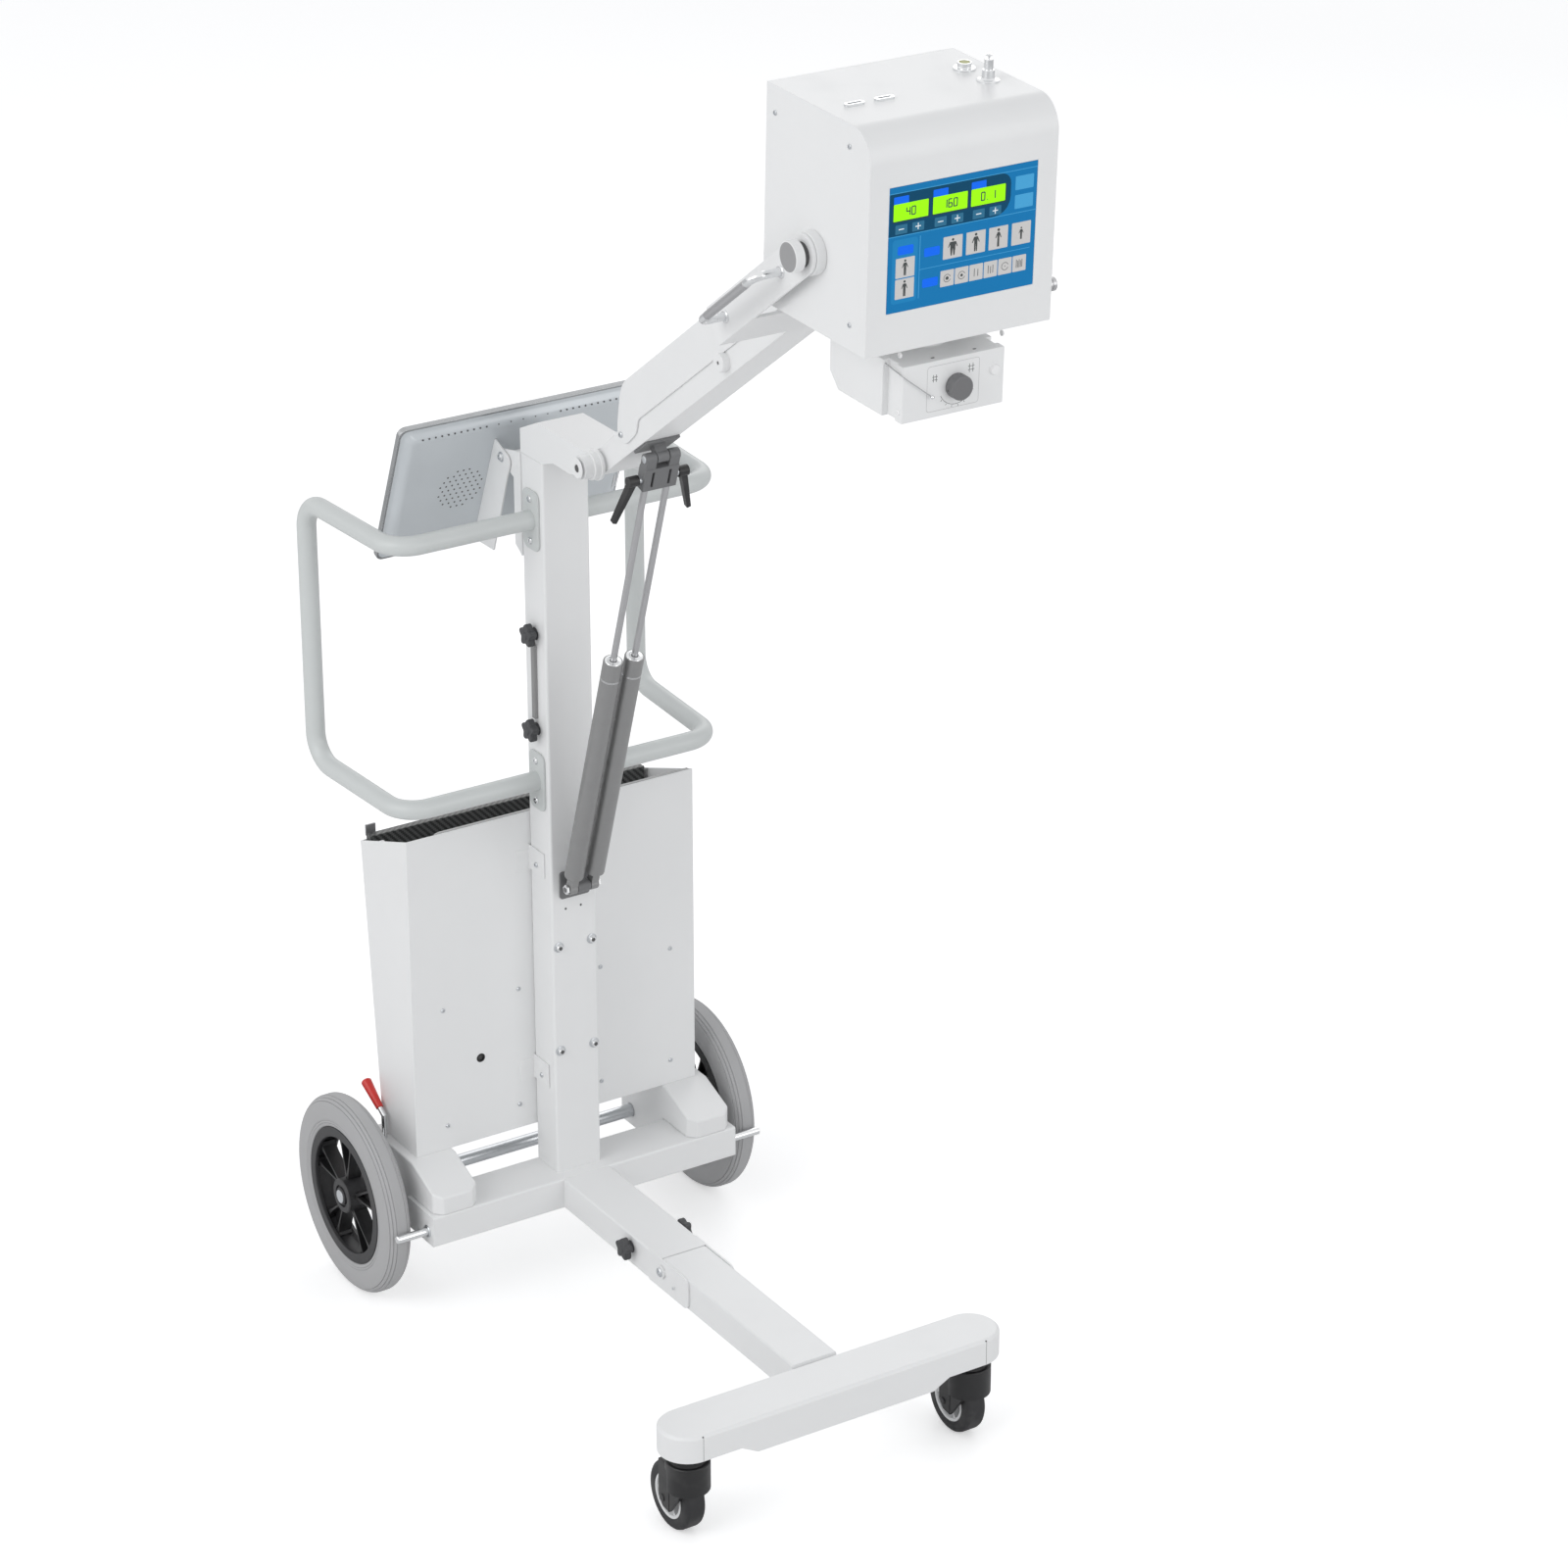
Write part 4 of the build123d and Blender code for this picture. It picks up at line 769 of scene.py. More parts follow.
    def copy_of(self, node: str, finish: Finish, bevel: float = 0.0, segments: int = 2) -> "Form":
        """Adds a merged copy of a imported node's own mesh, with its sharp edges eased.

        Args:
            node: the node's name.
            finish: the finish of its faces.
            bevel: the width of its rounded edges in millimetres.
            segments: how many faces round each edge.

        Returns:
            This piece.
        """
        shape = bmesh.new()
        shape.from_mesh(FRAME["nodes"][node].data)
        bmesh.ops.remove_doubles(shape, verts=shape.verts, dist=2e-6)
        bmesh.ops.dissolve_limit(shape, angle_limit=math.radians(0.6), verts=shape.verts, edges=shape.edges)
        return self._take(shape, finish, bevel, segments, 32.0)

    def take_mesh(self, mesh: bpy.types.Mesh, finish: Finish) -> "Form":
        """Adds a mesh that a node tree has made.

        Args:
            mesh: the mesh, which is used up.
            finish: the finish of its faces.

        Returns:
            This piece.
        """
        shape = bmesh.new()
        shape.from_mesh(mesh)
        bpy.data.meshes.remove(mesh)
        return self._merge(shape, finish)

    def turned(self, start: "Form", count: int, frame: Matrix, finish: Finish) -> "Form":
        """Adds copies of another form's shapes, turned evenly about a frame's z.

        Args:
            start: the form that is copied, which is used up.
            count: how many copies there are.
            frame: the frame, its translation in metres.
            finish: their finish.

        Returns:
            This piece.
        """
        first = bpy.data.meshes.new(start.name)
        start.mesh.to_mesh(first)
        start.mesh.free()
        copies = TurnedCopies().grow(finish, first, count=count)
        copies.transform(frame)
        return self.take_mesh(copies, finish)

    def _weigh(self, piece: bpy.types.Object) -> None:
        """Weighs the shading by face size, so that flat faces stay flat beside their rounded edges.

        Args:
            piece: the finished object.
        """
        weigh = piece.modifiers.new("Weigh", "WEIGHTED_NORMAL")
        weigh.keep_sharp = True
        weigh.weight = 80
        shaded = bpy.data.meshes.new_from_object(piece.evaluated_get(bpy.context.evaluated_depsgraph_get()))
        plain = piece.data
        piece.modifiers.remove(weigh)
        piece.data = shaded
        bpy.data.meshes.remove(plain)
        shaded.name = self.name

    def done(self, body: str, replaces: Iterable[str] = (), smooth: float = 32.0) -> bpy.types.Object:
        """Turns the shapes into one object that rides on a body.

        Args:
            body: the body it moves with.
            replaces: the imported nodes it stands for.
            smooth: the angle past which an edge shades sharp, in degrees.

        Returns:
            The object.
        """
        mesh = bpy.data.meshes.new(self.name)
        self.mesh.to_mesh(mesh)
        self.mesh.free()
        for finish in self.finishes:
            mesh.materials.append(finish.material())
        mesh.polygons.foreach_set("use_smooth", [True] * len(mesh.polygons))
        mesh.set_sharp_from_angle(angle=math.radians(smooth))
        piece = bpy.data.objects.new(self.name, mesh)
        bpy.context.scene.collection.objects.link(piece)
        self._weigh(piece)
        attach(piece, body)
        if replaces:
            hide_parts(*replaces)
        LOG.info("%s: %d faces on %s", self.name, len(piece.data.polygons), body)
        return piece


class Repeater:
    """A geometry node tree with named inputs, built once and grown from a start mesh."""

    name = ""
    inputs: tuple[tuple[str, str], ...] = ()

    def build(self, nodes: Nodes, given: bpy.types.NodeOutputs) -> Socket:
        """Builds the tree's nodes and gives the geometry before it is realized."""
        raise NotImplementedError

    def tree(self) -> bpy.types.NodeTree:
        """Gives the tree, built at its first use.

        Returns:
            The tree.
        """
        known = bpy.data.node_groups.get(self.name)
        if known:
            return known
        tree = bpy.data.node_groups.new(self.name, "GeometryNodeTree")
        for name, kind in (("Start", "Geometry"), *self.inputs, ("Material", "Material")):
            tree.interface.new_socket(name=name, in_out="INPUT", socket_type="NodeSocket" + kind)
        tree.interface.new_socket(name="Result", in_out="OUTPUT", socket_type="NodeSocketGeometry")
        nodes = Nodes(tree)
        given = nodes.add("NodeGroupInput").outputs
        shapes = self.build(nodes, given)
        real = nodes.add("GeometryNodeRealizeInstances", {0: shapes}).outputs[0]
        painted = nodes.add("GeometryNodeSetMaterial", {"Geometry": real, "Material": given["Material"]})
        nodes.add("NodeGroupOutput", {"Result": painted.outputs[0]})
        return tree

    def grow(self, finish: Finish, start: Optional[bpy.types.Mesh] = None, **values: float) -> bpy.types.Mesh:
        """Runs the tree and gives its result as a plain mesh.

        Args:
            finish: the finish of what it makes.
            start: the mesh it starts from.
            values: the inputs by name, with underscores for spaces, in metres.

        Returns:
            The mesh that the tree makes.
        """
        carrier = bpy.data.objects.new(self.name, start or bpy.data.meshes.new("start"))
        bpy.context.scene.collection.objects.link(carrier)
        modifier = carrier.modifiers.new(self.name, "NODES")
        modifier.node_group = self.tree()
        named = {key.replace("_", " ").capitalize(): value for key, value in values.items()}
        named["Material"] = finish.material()
        for item in modifier.node_group.interface.items_tree:
            if item.in_out == "INPUT" and item.name in named:
                modifier[item.identifier] = named[item.name]
        depsgraph = bpy.context.evaluated_depsgraph_get()
        mesh = bpy.data.meshes.new_from_object(carrier.evaluated_get(depsgraph))
        held = carrier.data
        bpy.data.objects.remove(carrier)
        bpy.data.meshes.remove(held)
        return mesh


class Fasteners(Repeater):
    """Round button heads with a recess, one on each start point, turned the way it faces."""

    name = "Fasteners"
    inputs = (("Radius", "Float"), ("Height", "Float"), ("Recess", "Float"), ("Sides", "Int"))

    def build(self, nodes: Nodes, given: bpy.types.NodeOutputs) -> Socket:
        """Makes a head by drawing in and sinking a disc's top, and sets it on each point.

        Args:
            nodes: the tree.
            given: its inputs.

        Returns:
            The heads.
        """
        half = nodes.math("MULTIPLY", given["Height"], 0.5)
        sink = nodes.math("MULTIPLY", half, -1.0)
        head = nodes.add("GeometryNodeMeshCylinder", {
            "Vertices": given["Sides"], "Radius": given["Radius"], "Depth": given["Height"]})
        mesh, top = head.outputs["Mesh"], head.outputs["Top"]
        for rise, scale in ((half, 0.8), (0.0, given["Recess"]), (sink, 0.9)):
            drawn = nodes.add("GeometryNodeExtrudeMesh", {
                "Mesh": mesh, "Selection": top, "Offset Scale": rise, "Individual": False})
            sized = nodes.add("GeometryNodeScaleElements", {
                "Geometry": drawn.outputs["Mesh"], "Selection": drawn.outputs["Top"], "Scale": scale})
            mesh, top = sized.outputs[0], drawn.outputs["Top"]
        facing = nodes.add("GeometryNodeInputNamedAttribute", {"Name": "facing"}, data_type="FLOAT_VECTOR")
        turned = nodes.add("FunctionNodeAlignRotationToVector", {"Vector": facing.outputs[0]}, axis="Z")
        return nodes.add("GeometryNodeInstanceOnPoints", {
            "Points": given["Start"], "Instance": mesh, "Rotation": turned.outputs[0]}).outputs[0]


class HoleField(Repeater):
    """A round field of small dark discs on a triangular grid, in the XY plane."""

    name = "Hole field"
    inputs = (("Reach", "Float"), ("Pitch", "Float"), ("Radius", "Float"), ("Depth", "Float"),
              ("Count", "Int"))

    def build(self, nodes: Nodes, given: bpy.types.NodeOutputs) -> Socket:
        """Lays a square grid, shifts and tightens its rows, and keeps the points in reach.

        Args:
            nodes: the tree.
            given: its inputs.

        Returns:
            The discs.
        """
        pitch, count = given["Pitch"], given["Count"]
        size = nodes.math("MULTIPLY", pitch, nodes.math("SUBTRACT", count, 1.0))
        grid = nodes.add("GeometryNodeMeshGrid", {
            "Size X": size, "Size Y": size, "Vertices X": count, "Vertices Y": count})
        place = nodes.add("GeometryNodeInputPosition").outputs[0]
        axes = nodes.add("ShaderNodeSeparateXYZ", {0: place}).outputs
        odd = nodes.math("PINGPONG", nodes.math("ROUND", nodes.math("DIVIDE", axes[1], pitch)), 1.0)
        shift = nodes.math("MULTIPLY", odd, nodes.math("MULTIPLY", pitch, 0.5))
        tight = nodes.math("MULTIPLY", axes[1], -0.134)
        offset = nodes.add("ShaderNodeCombineXYZ", {0: shift, 1: tight}).outputs[0]
        moved = nodes.add("GeometryNodeSetPosition", {"Geometry": grid.outputs[0], "Offset": offset})
        far = nodes.add("ShaderNodeVectorMath", {0: place}, operation="LENGTH").outputs["Value"]
        kept = nodes.add("GeometryNodeDeleteGeometry", {
            "Geometry": moved.outputs[0], "Selection": nodes.math("GREATER_THAN", far, given["Reach"])})
        disc = nodes.add("GeometryNodeMeshCylinder", {
            "Vertices": 10, "Radius": given["Radius"], "Depth": given["Depth"]})
        return nodes.add("GeometryNodeInstanceOnPoints", {
            "Points": kept.outputs[0], "Instance": disc.outputs["Mesh"]}).outputs[0]


class TurnedCopies(Repeater):
    """Copies of the start mesh, turned evenly about the Z axis."""

    name = "Turned copies"
    inputs = (("Count", "Int"),)

    def build(self, nodes: Nodes, given: bpy.types.NodeOutputs) -> Socket:
        """Puts one turned instance on each of a row of points that share one place.

        Args:
            nodes: the tree.
            given: its inputs.

        Returns:
            The copies.
        """
        line = nodes.add("GeometryNodeMeshLine", {"Count": given["Count"], "Offset": (0.0, 0.0, 0.0)})
        step = nodes.math("DIVIDE", math.tau, given["Count"])
        turn = nodes.math("MULTIPLY", nodes.add("GeometryNodeInputIndex").outputs[0], step)
        spin = nodes.add("ShaderNodeCombineXYZ", {2: turn}).outputs[0]
        rotation = nodes.add("FunctionNodeEulerToRotation", {0: spin}).outputs[0]
        return nodes.add("GeometryNodeInstanceOnPoints", {
            "Points": line.outputs[0], "Instance": given["Start"], "Rotation": rotation}).outputs[0]


def points_mesh(places: Sequence[Vector], facing: Sequence[Vector]) -> bpy.types.Mesh:
    """Makes a mesh of loose points that remember which way each one faces.

    Args:
        places: the points in metres.
        facing: the way each point faces.

    Returns:
        The mesh.
    """
    mesh = bpy.data.meshes.new("points")
    mesh.from_pydata([tuple(p) for p in places], [], [])
    layer = mesh.attributes.new("facing", "FLOAT_VECTOR", "POINT")
    for item, way in zip(layer.data, facing):
        item.vector = way
    return mesh


@dataclass
class SubAssembly:
    """What every sub-assembly shares: the body it rides on."""

    body: str = "stand"

    def dress(self, node: str, finish: Finish, bevel: float = 0.0, segments: int = 2, body: str = "") -> None:
        """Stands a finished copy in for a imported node, on its own body or on the one that is given."""
        Form(node.capitalize()).copy_of(node, finish, bevel, segments).done(body or self.body, [node])

    def screws(self, name: str, places: Sequence[Vector], facing: Vector | Sequence[Vector], radius: float,
               height: float, finish: Finish = Finishes.zinc, recess: float = 0.55, sides: int = 20,
               body: str = "") -> bpy.types.Object:
        """Sets round screw heads on a surface.

        Args:
            name: the piece's name.
            places: where each head stands, in metres.
            facing: the way they face, one for all or one for each.
            radius: the heads' radius in millimetres.
            height: how far they stand out.
            finish: their finish.
            recess: the recess's width as a share of the head's.
            sides: how many sides a head has.
            body: the body they ride on, if it isn't the sub-assembly's own.

        Returns:
            The piece.
        """
        ways = [facing] * len(places) if isinstance(facing, Vector) else list(facing)
        mesh = Fasteners().grow(finish, points_mesh(places, ways), radius=radius * MM, height=height * MM,
                                recess=recess, sides=sides)
        return Form(name).take_mesh(mesh, finish).done(body or self.body, smooth=30.0)

    def side_screws(self, name: str, view: View, spots: Sequence[Point], half: float, radius: float,
                    height: float, **more: object) -> None:
        """Sets the same screw heads on both sides of the machine.

        Args:
            name: the piece's name.
            view: the plane that the heads' places are drawn in.
            spots: their places in that plane.
            half: how far from the machine's middle they stand.
            radius: their radius.
            height: how far they stand out.
            more: what else `screws` takes.
        """
        places = [view.at(u, v, side.value * half) for side in Side for u, v in spots]
        self.screws(name, places, [side.out for side in Side for _ in spots], radius, height, **more)


@dataclass
class Studio:
    """The camera at the photograph's angle, the lamps, and a plain pale floor.

    Attributes:
        azimuth: how far round the camera stands, from straight in front of the right side.
        elevation: how far above the horizon it looks from, in degrees.
        distance: how far it stands from its target, in metres.
        target: what it looks at, in metres.
        focal_share: focal length as a share of the picture's width.
        sensor: the sensor's width in millimetres.
        lamp_target: what the lamps are turned to, in metres.
        lamps: each lamp's name, place, size and power.
        sky: the colour of the light from all round.
        sky_strength: how strong that light is.
        floor_half: half the floor's width, in metres.
        floor_grey: how pale the floor is.
        floor_glow: how much light it adds for the camera alone.
    """

    azimuth: float = 57.54
    elevation: float = 24.585
    distance: float = 5.8107
    target: Spot = (0.5766, -0.2175, 1.1959)
    focal_share: float = 4890.3 / 1600
    sensor: float = 36.0
    lamp_target: Spot = (0.0, 0.0, 1.0)
    lamps: tuple[tuple[str, Spot, float, float], ...] = (
        ("Key lamp", (1.2, -5.0, 4.2), 3.4, 78.0), ("Side lamp", (-1.5, -5.0, 2.5), 4.0, 34.0),
        ("Fill lamp", (5.0, 1.5, 2.6), 3.5, 52.0), ("Rim lamp", (-3.5, 3.5, 3.8), 3.0, 34.0))
    sky: Colour = (0.97, 0.98, 1.0)
    sky_strength: float = 0.61
    floor_half: float = 40.0
    floor_grey: float = 0.86
    floor_glow: float = 0.43

    def build(self) -> None:
        """Makes the camera, the lamps, the world and the floor."""
        self._camera()
        self._world()
        self._floor()
        for lamp in self.lamps:
            self._lamp(*lamp)
        bpy.context.scene.view_settings.view_transform = "Standard"

    def _camera(self) -> None:
        """Places the camera on its sight line."""
        a, e = math.radians(self.azimuth), math.radians(self.elevation)
        back = Vector((math.sin(a) * math.cos(e), -math.cos(a) * math.cos(e), math.sin(e)))
        lens = bpy.data.cameras.new("Camera")
        lens.sensor_width = self.sensor
        lens.lens = self.sensor * self.focal_share
        lens.clip_end = 200.0
        camera = bpy.data.objects.new("Camera", lens)
        camera.location = Vector(self.target) + back * self.distance
        camera.rotation_mode = "QUATERNION"
        camera.rotation_quaternion = (-back).to_track_quat("-Z", "Y")
        bpy.context.scene.collection.objects.link(camera)
        bpy.context.scene.camera = camera

    def _world(self) -> None:
        """Lights everything softly, and shows plain white to the camera and in mirrors."""
        world = bpy.data.worlds.new("Studio")
        world.use_nodes = True
        world.node_tree.nodes.clear()
        nodes = Nodes(world.node_tree)
        path = nodes.add("ShaderNodeLightPath").outputs
        mirrored_rays = nodes.math("MAXIMUM", path["Is Transmission Ray"], path["Is Glossy Ray"])
        seen = nodes.math("MAXIMUM", path["Is Camera Ray"], mirrored_rays)
        soft, white = (nodes.add("ShaderNodeBackground", {"Color": (*colour, 1.0), "Strength": strength})
                       for colour, strength in ((self.sky, self.sky_strength), ((1, 1, 1), 1.0)))
        mixed = nodes.add("ShaderNodeMixShader", {0: seen, 1: soft.outputs[0], 2: white.outputs[0]})
        nodes.add("ShaderNodeOutputWorld", {0: mixed.outputs[0]})
        bpy.context.scene.world = world

    def _floor(self) -> None:
        """Lays a pale floor that keeps the machine's shadow."""
        half = self.floor_half
        mesh = bpy.data.meshes.new("Floor")
        mesh.from_pydata([(*corner, 0) for corner in rectangle(-half, -half, half, half)], [], [(0, 1, 2, 3)])
        paint = bpy.data.materials.new("Pale floor")
        paint.use_nodes = True
        nodes = Nodes(paint.node_tree)
        shown = nodes.add("ShaderNodeLightPath").outputs["Is Camera Ray"]
        grey = self.floor_grey
        for name, value in (("Base Color", (grey, grey, grey, 1.0)), ("Roughness", 0.9),
                            ("Specular IOR Level", 0.1), ("Emission Color", (1, 1, 1, 1)),
                            ("Emission Strength", nodes.math("MULTIPLY", shown, self.floor_glow))):
            nodes.feed(paint.node_tree.nodes["Principled BSDF"].inputs[name], value)
        mesh.materials.append(paint)
        floor = bpy.data.objects.new("Floor", mesh)
        bpy.context.scene.collection.objects.link(floor)

    def _lamp(self, name: str, place: Spot, size: float, power: float) -> None:
        """Hangs one soft square lamp, turned towards the machine.

        Args:
            name: its name.
            place: where it hangs, in metres.
            size: its width.
            power: its power in watts.
        """
        data = bpy.data.lights.new(name, "AREA")
        data.size = size
        data.energy = power
        lamp = bpy.data.objects.new(name, data)
        lamp.location = place
        lamp.rotation_mode = "QUATERNION"
        lamp.rotation_quaternion = (Vector(self.lamp_target) - Vector(place)).to_track_quat("-Z", "Y")
        bpy.context.scene.collection.objects.link(lamp)


@dataclass
class RearWheel(SubAssembly):
    """A grey grooved tyre on a black spoked wheel.

    Attributes:
        section: half of the tyre's section from rim to tread, as radius, place across, and whether
            it is grooved there.
    """

    side: Side = Side.LEFT
    half_track: float = 293.0
    section: tuple[tuple[float, float, bool], ...] = (
        (104.3, 15.2, False), (104.9, 16.5, False), (107.5, 17.5, False), (109.6, 17.9, True),
        (113.4, 18.2, True), (117.0, 18.6, False), (126.0, 19.0, False), (134.0, 18.9, False),
        (139.5, 17.9, False), (142.4, 16.7, True), (145.0, 14.8, False), (146.6, 13.0, True),
        (148.2, 10.6, False), (149.3, 8.4, True), (149.9, 6.2, False), (150.0, 3.0, False))
    groove_half: float = 0.75
    groove_depth: float = 1.1
    rim_radius: float = 104.0
    rim_inner: float = 89.0
    rim_half: float = 17.4
    hub_radius: float = 26.0
    hub_half: float = 22.4
    spokes: int = 5
    spoke_root: float = 22.0
    spoke_splay: float = 14.0
    spoke_thick: float = 4.6
    spoke_depth: float = 22.0
    web_thick: float = 3.0

    def build(self) -> None:
        """Builds the tyre and the wheel."""
        name = self.side.name.lower()
        centre = LAYOUT.level.at(-LAYOUT.axle_back, LAYOUT.tyre_radius, self.side.value * self.half_track)
        axis = self.side.out
        tyre = Form(f"Tyre_{name}").lathe(mirrored(self._grooved()), centre, axis, Finishes.tyre, 144)
        tyre.done(self.body, [f"tyre_{name}"], 60)
        wheel = Form(f"Wheel_{name}")
        self._rim(wheel, centre, axis)
        self._spokes(wheel, frame_at(centre, AHEAD, axis))
        self._hub(wheel, centre, axis)
        wheel.done(self.body, [f"wheel_{name}"])

    def _grooved(self) -> list[Point]:
        """Turns the section's table into points.

        Returns:
            The points, with a V cut in each grooved place.
        """
        places = [Vector(row[:2]) for row in self.section]
        made: list[Point] = [tuple(places[0])]
        for before, here, after, row in zip(places, places[1:], places[2:], self.section[1:]):
            if not row[2]:
                made.append(tuple(here))
                continue
            way = (after - before).normalized()
            inward = Vector((way.y, -way.x))
            made += [tuple(here - way * self.groove_half), tuple(here + inward * self.groove_depth),
                     tuple(here + way * self.groove_half)]
        return made + [tuple(places[-1])]

    def _rim(self, wheel: Form, centre: Vector, axis: Vector) -> None:
        """Adds the rim's barrel with a flat dark ring on each face."""
        half, inner, outer = self.rim_half, self.rim_inner, self.rim_radius
        wheel.lathe(mirrored([
            (inner + 5, 8 - half), (inner - 0.5, 5 - half), (inner, 1 - half), (inner + 1, -half),
            (outer - 1, -half), (outer, 1 - half)]), centre, axis, Finishes.charcoal, 96)

    def _spokes(self, wheel: Form, frame: Matrix) -> None:
        """Adds pairs of blades that flare into the rim, with a thin web between them, in black darker than
        the charcoal rim and hub of the same wheel: painted shade inside the wheel.

        Args:
            wheel: the piece they go in.
            frame: the wheel's frame, whose z is its axle.
        """
        pair = Form("pair")
        root, reach = self.spoke_root, self.rim_inner + 3 - self.spoke_root
        half = self.spoke_thick / 2
        splay = math.radians(self.spoke_splay)
        blade = mirrored([(0, -half - 1), (reach * 0.4, -half + 0.6), (reach * 0.75, -half + 0.6),
                          (reach - 4, -half - 2), (reach, -half - 6)])
        start = Matrix.Translation((root, 0, -self.spoke_depth / 2))
        for way in (-1, 1):
            lean = start @ Matrix.Rotation(way * splay, 4, "Z")
            pair.block(lean, blade, self.spoke_depth, Finishes.black, 0.8)
        tip, far = reach * math.sin(splay), root + reach * 0.93
        web = [(root, -3), (far, -tip), (root + reach * 1.02, 0), (far, tip), (root, 3)]
        pair.block(Matrix.Translation((0, 0, -self.web_thick / 2)), web, self.web_thick, Finishes.black, 0.4)
        # blades and web take black, darker than the charcoal rim and hub: painted shade between the spokes
        wheel.turned(pair, self.spokes, frame @ Matrix.Rotation(math.pi / 2, 4, "Z"), Finishes.black)

    def _hub(self, wheel: Form, centre: Vector, axis: Vector) -> None:
        """Adds the hub: a flat disc with a sunk ring round its raised cap."""
        h, r = self.hub_half, self.hub_radius
        wheel.lathe([(0, -h), (r - 2, -h), (r, -h + 2), (r, h - 3), (r - 1.5, h - 1.4), (17, h - 1.4),
                     (16.2, h - 4.5), (13.4, h - 4.5), (13, h - 0.8), (12, h), (0, h)],
                    centre, axis, Finishes.charcoal, 60)


@dataclass
class Caster(SubAssembly):
    """A black swivel caster with a pale spoked wheel."""

    side: Side = Side.LEFT
    across: float = 228.5
    radius: float = 50.0
    width: float = 32.0
    trail: float = 27.0
    hub_radius: float = 33.0
    head_radius: float = 31.0
    head_top: float = 127.5
    shroud: float = 54.0
    shroud_turn: float = 100.0
    wall: float = 4.0
    neck: float = 11.0
    cheek: float = 6.0
    cheek_ahead: float = 17.0
    cheek_behind: float = 10.0
    cheek_drop: float = 15.0
    gap: float = 2.5
    roof_gap: float = 5.2
    spokes: int = 6

    def build(self) -> None:
        """Builds the fork, the hub and the tyre."""
        name = f"caster_{self.side.name.lower()}"
        y = self.side.value * self.across
        bar = LAYOUT.front_bar_ahead
        axle = LAYOUT.level.at(bar - self.trail, self.radius, y)
        self._fork(name, y, LAYOUT.level.at(bar, 0, y), axle)
        half, root, r = self.width / 2, self.hub_radius, self.radius
        tread = Form(f"{name}_tread").lathe(mirrored([
            (root + 0.2, -half + 0.4), (root + 2, -half), (r - 7, -half), (r - 3.2, -half + 1.2),
            (r - 1, -half + 3.4), (r, -half + 6.5)]), axle, LEFT, Finishes.tread, 84)
        tread.done(f"{name}_wheel", [f"{name}_tyre"], 40)
        self._hub(name, axle)

    def _fork(self, name: str, y: float, stem: Vector, axle: Vector) -> None:
        """Adds the swivel head with its necked top, the shroud's wall, the cheeks and the axle's ends.

        Args:
            name: the caster's name.
            y: its place across the machine.
            stem: the foot of its swivel axis, in metres.
            axle: its axle's middle, in metres.
        """
        fork = Form(f"{name}_fork")
        top, r = self.head_top, self.head_radius
        low = top - self.shroud
        bar = LAYOUT.front_bar_ahead
        back = bar - self.trail
        inner = self.width / 2 + self.gap
        roof = 2 * self.radius + self.roof_gap
        neck = top - self.neck
        fork.lathe([(7.3, roof), (r - 2, roof), (r, roof + 1), (r, neck), (r - 1.2, neck + 1.2),
                    (r - 5, neck + 1.6), (r - 6, top - 6), (r - 5.4, top - 2), (r - 3.4, top), (7.3, top)],
                   stem, UP, Finishes.black, 64)
        wide = self.shroud_turn
        ring = arc((0, 0), r, -wide, wide, 30) + arc((0, 0), r - self.wall, wide, -wide, 30)
        fork.block(frame_at(stem / MM + UP * low, AHEAD, UP), ring, neck - low - 1, Finishes.black, 1.0)
        front = bar + math.sqrt(r * r - (inner + self.cheek) ** 2)
        tip = self.radius - self.cheek_drop
        ahead, behind = back + self.cheek_ahead, back - self.cheek_behind
        cheek = rounded([(front, roof + 4), (front, low + 0.6), (ahead, tip + 0.2), (back, tip + 2.2),
                         (behind, self.radius), (behind, roof + 4)], [1, 3, 1.5, 5, 4, 3])
        ridge = [(ahead - 1.6, tip + 3), (ahead + 0.4, tip + 2), (ahead + 0.4, roof + 4),
                 (ahead - 1.6, roof + 4)]
        for way in (-1, 1):
            near, far = sorted((y + way * inner, y + way * (inner + self.cheek)))
            fork.prism(cheek, LAYOUT.level, near, far, Finishes.black, 1.0)
            # a real raised ridge on the cheek's front edge, in charcoal lighter than the black fork: a
            # painted highlight
            near, far = sorted((y + way * (inner + self.cheek - 1), y + way * (inner + self.cheek + 0.8)))
            fork.prism(ridge, LAYOUT.level, near, far, Finishes.charcoal, 0.5)
            end = axle + LEFT * way * (inner + self.cheek - 0.5) * MM
            fork.lathe([(0, 0), (6, 0), (6, 1.6), (4.6, 2.4), (0, 2.4)], end, LEFT * way,
                       Finishes.charcoal, 6)
        fork.lathe(rectangle(0, -inner - 1, 4, inner + 1), axle, LEFT, Finishes.zinc, 20)
        fork.done(f"{name}_swivel", [f"{name}_fork"])

    def _hub(self, name: str, axle: Vector) -> None:
        """Adds the pale wheel with its raised rim, its boss, and spokes on both faces of its web.

        Args:
            name: the caster's name.
            axle: its axle's middle, in metres.
        """
        half = self.width / 2
        r = self.hub_radius
        hub = Form(f"{name}_hub").lathe(mirrored([
            (4.1, -half), (9, -half), (10, -half + 1), (10, -3.2), (r - 6, -3.2), (r - 4.4, -half + 0.8),
            (r - 3.4, -half), (r - 0.6, -half), (r, -half + 0.6)]), axle, LEFT, Finishes.pale, 72)
        outline = mirrored([(9, -2.4), (16, -1.5), (r - 8, -1.7), (r - 4.5, -3.4)])
        blade = Form("blade").block(Matrix.Translation((0, 0, -half + 2)), outline, self.width - 4,
                                    Finishes.pale, 0.7)
        hub.turned(blade, self.spokes, frame_at(axle, AHEAD, LEFT), Finishes.pale)
        hub.done(f"{name}_wheel", [f"{name}_hub"])


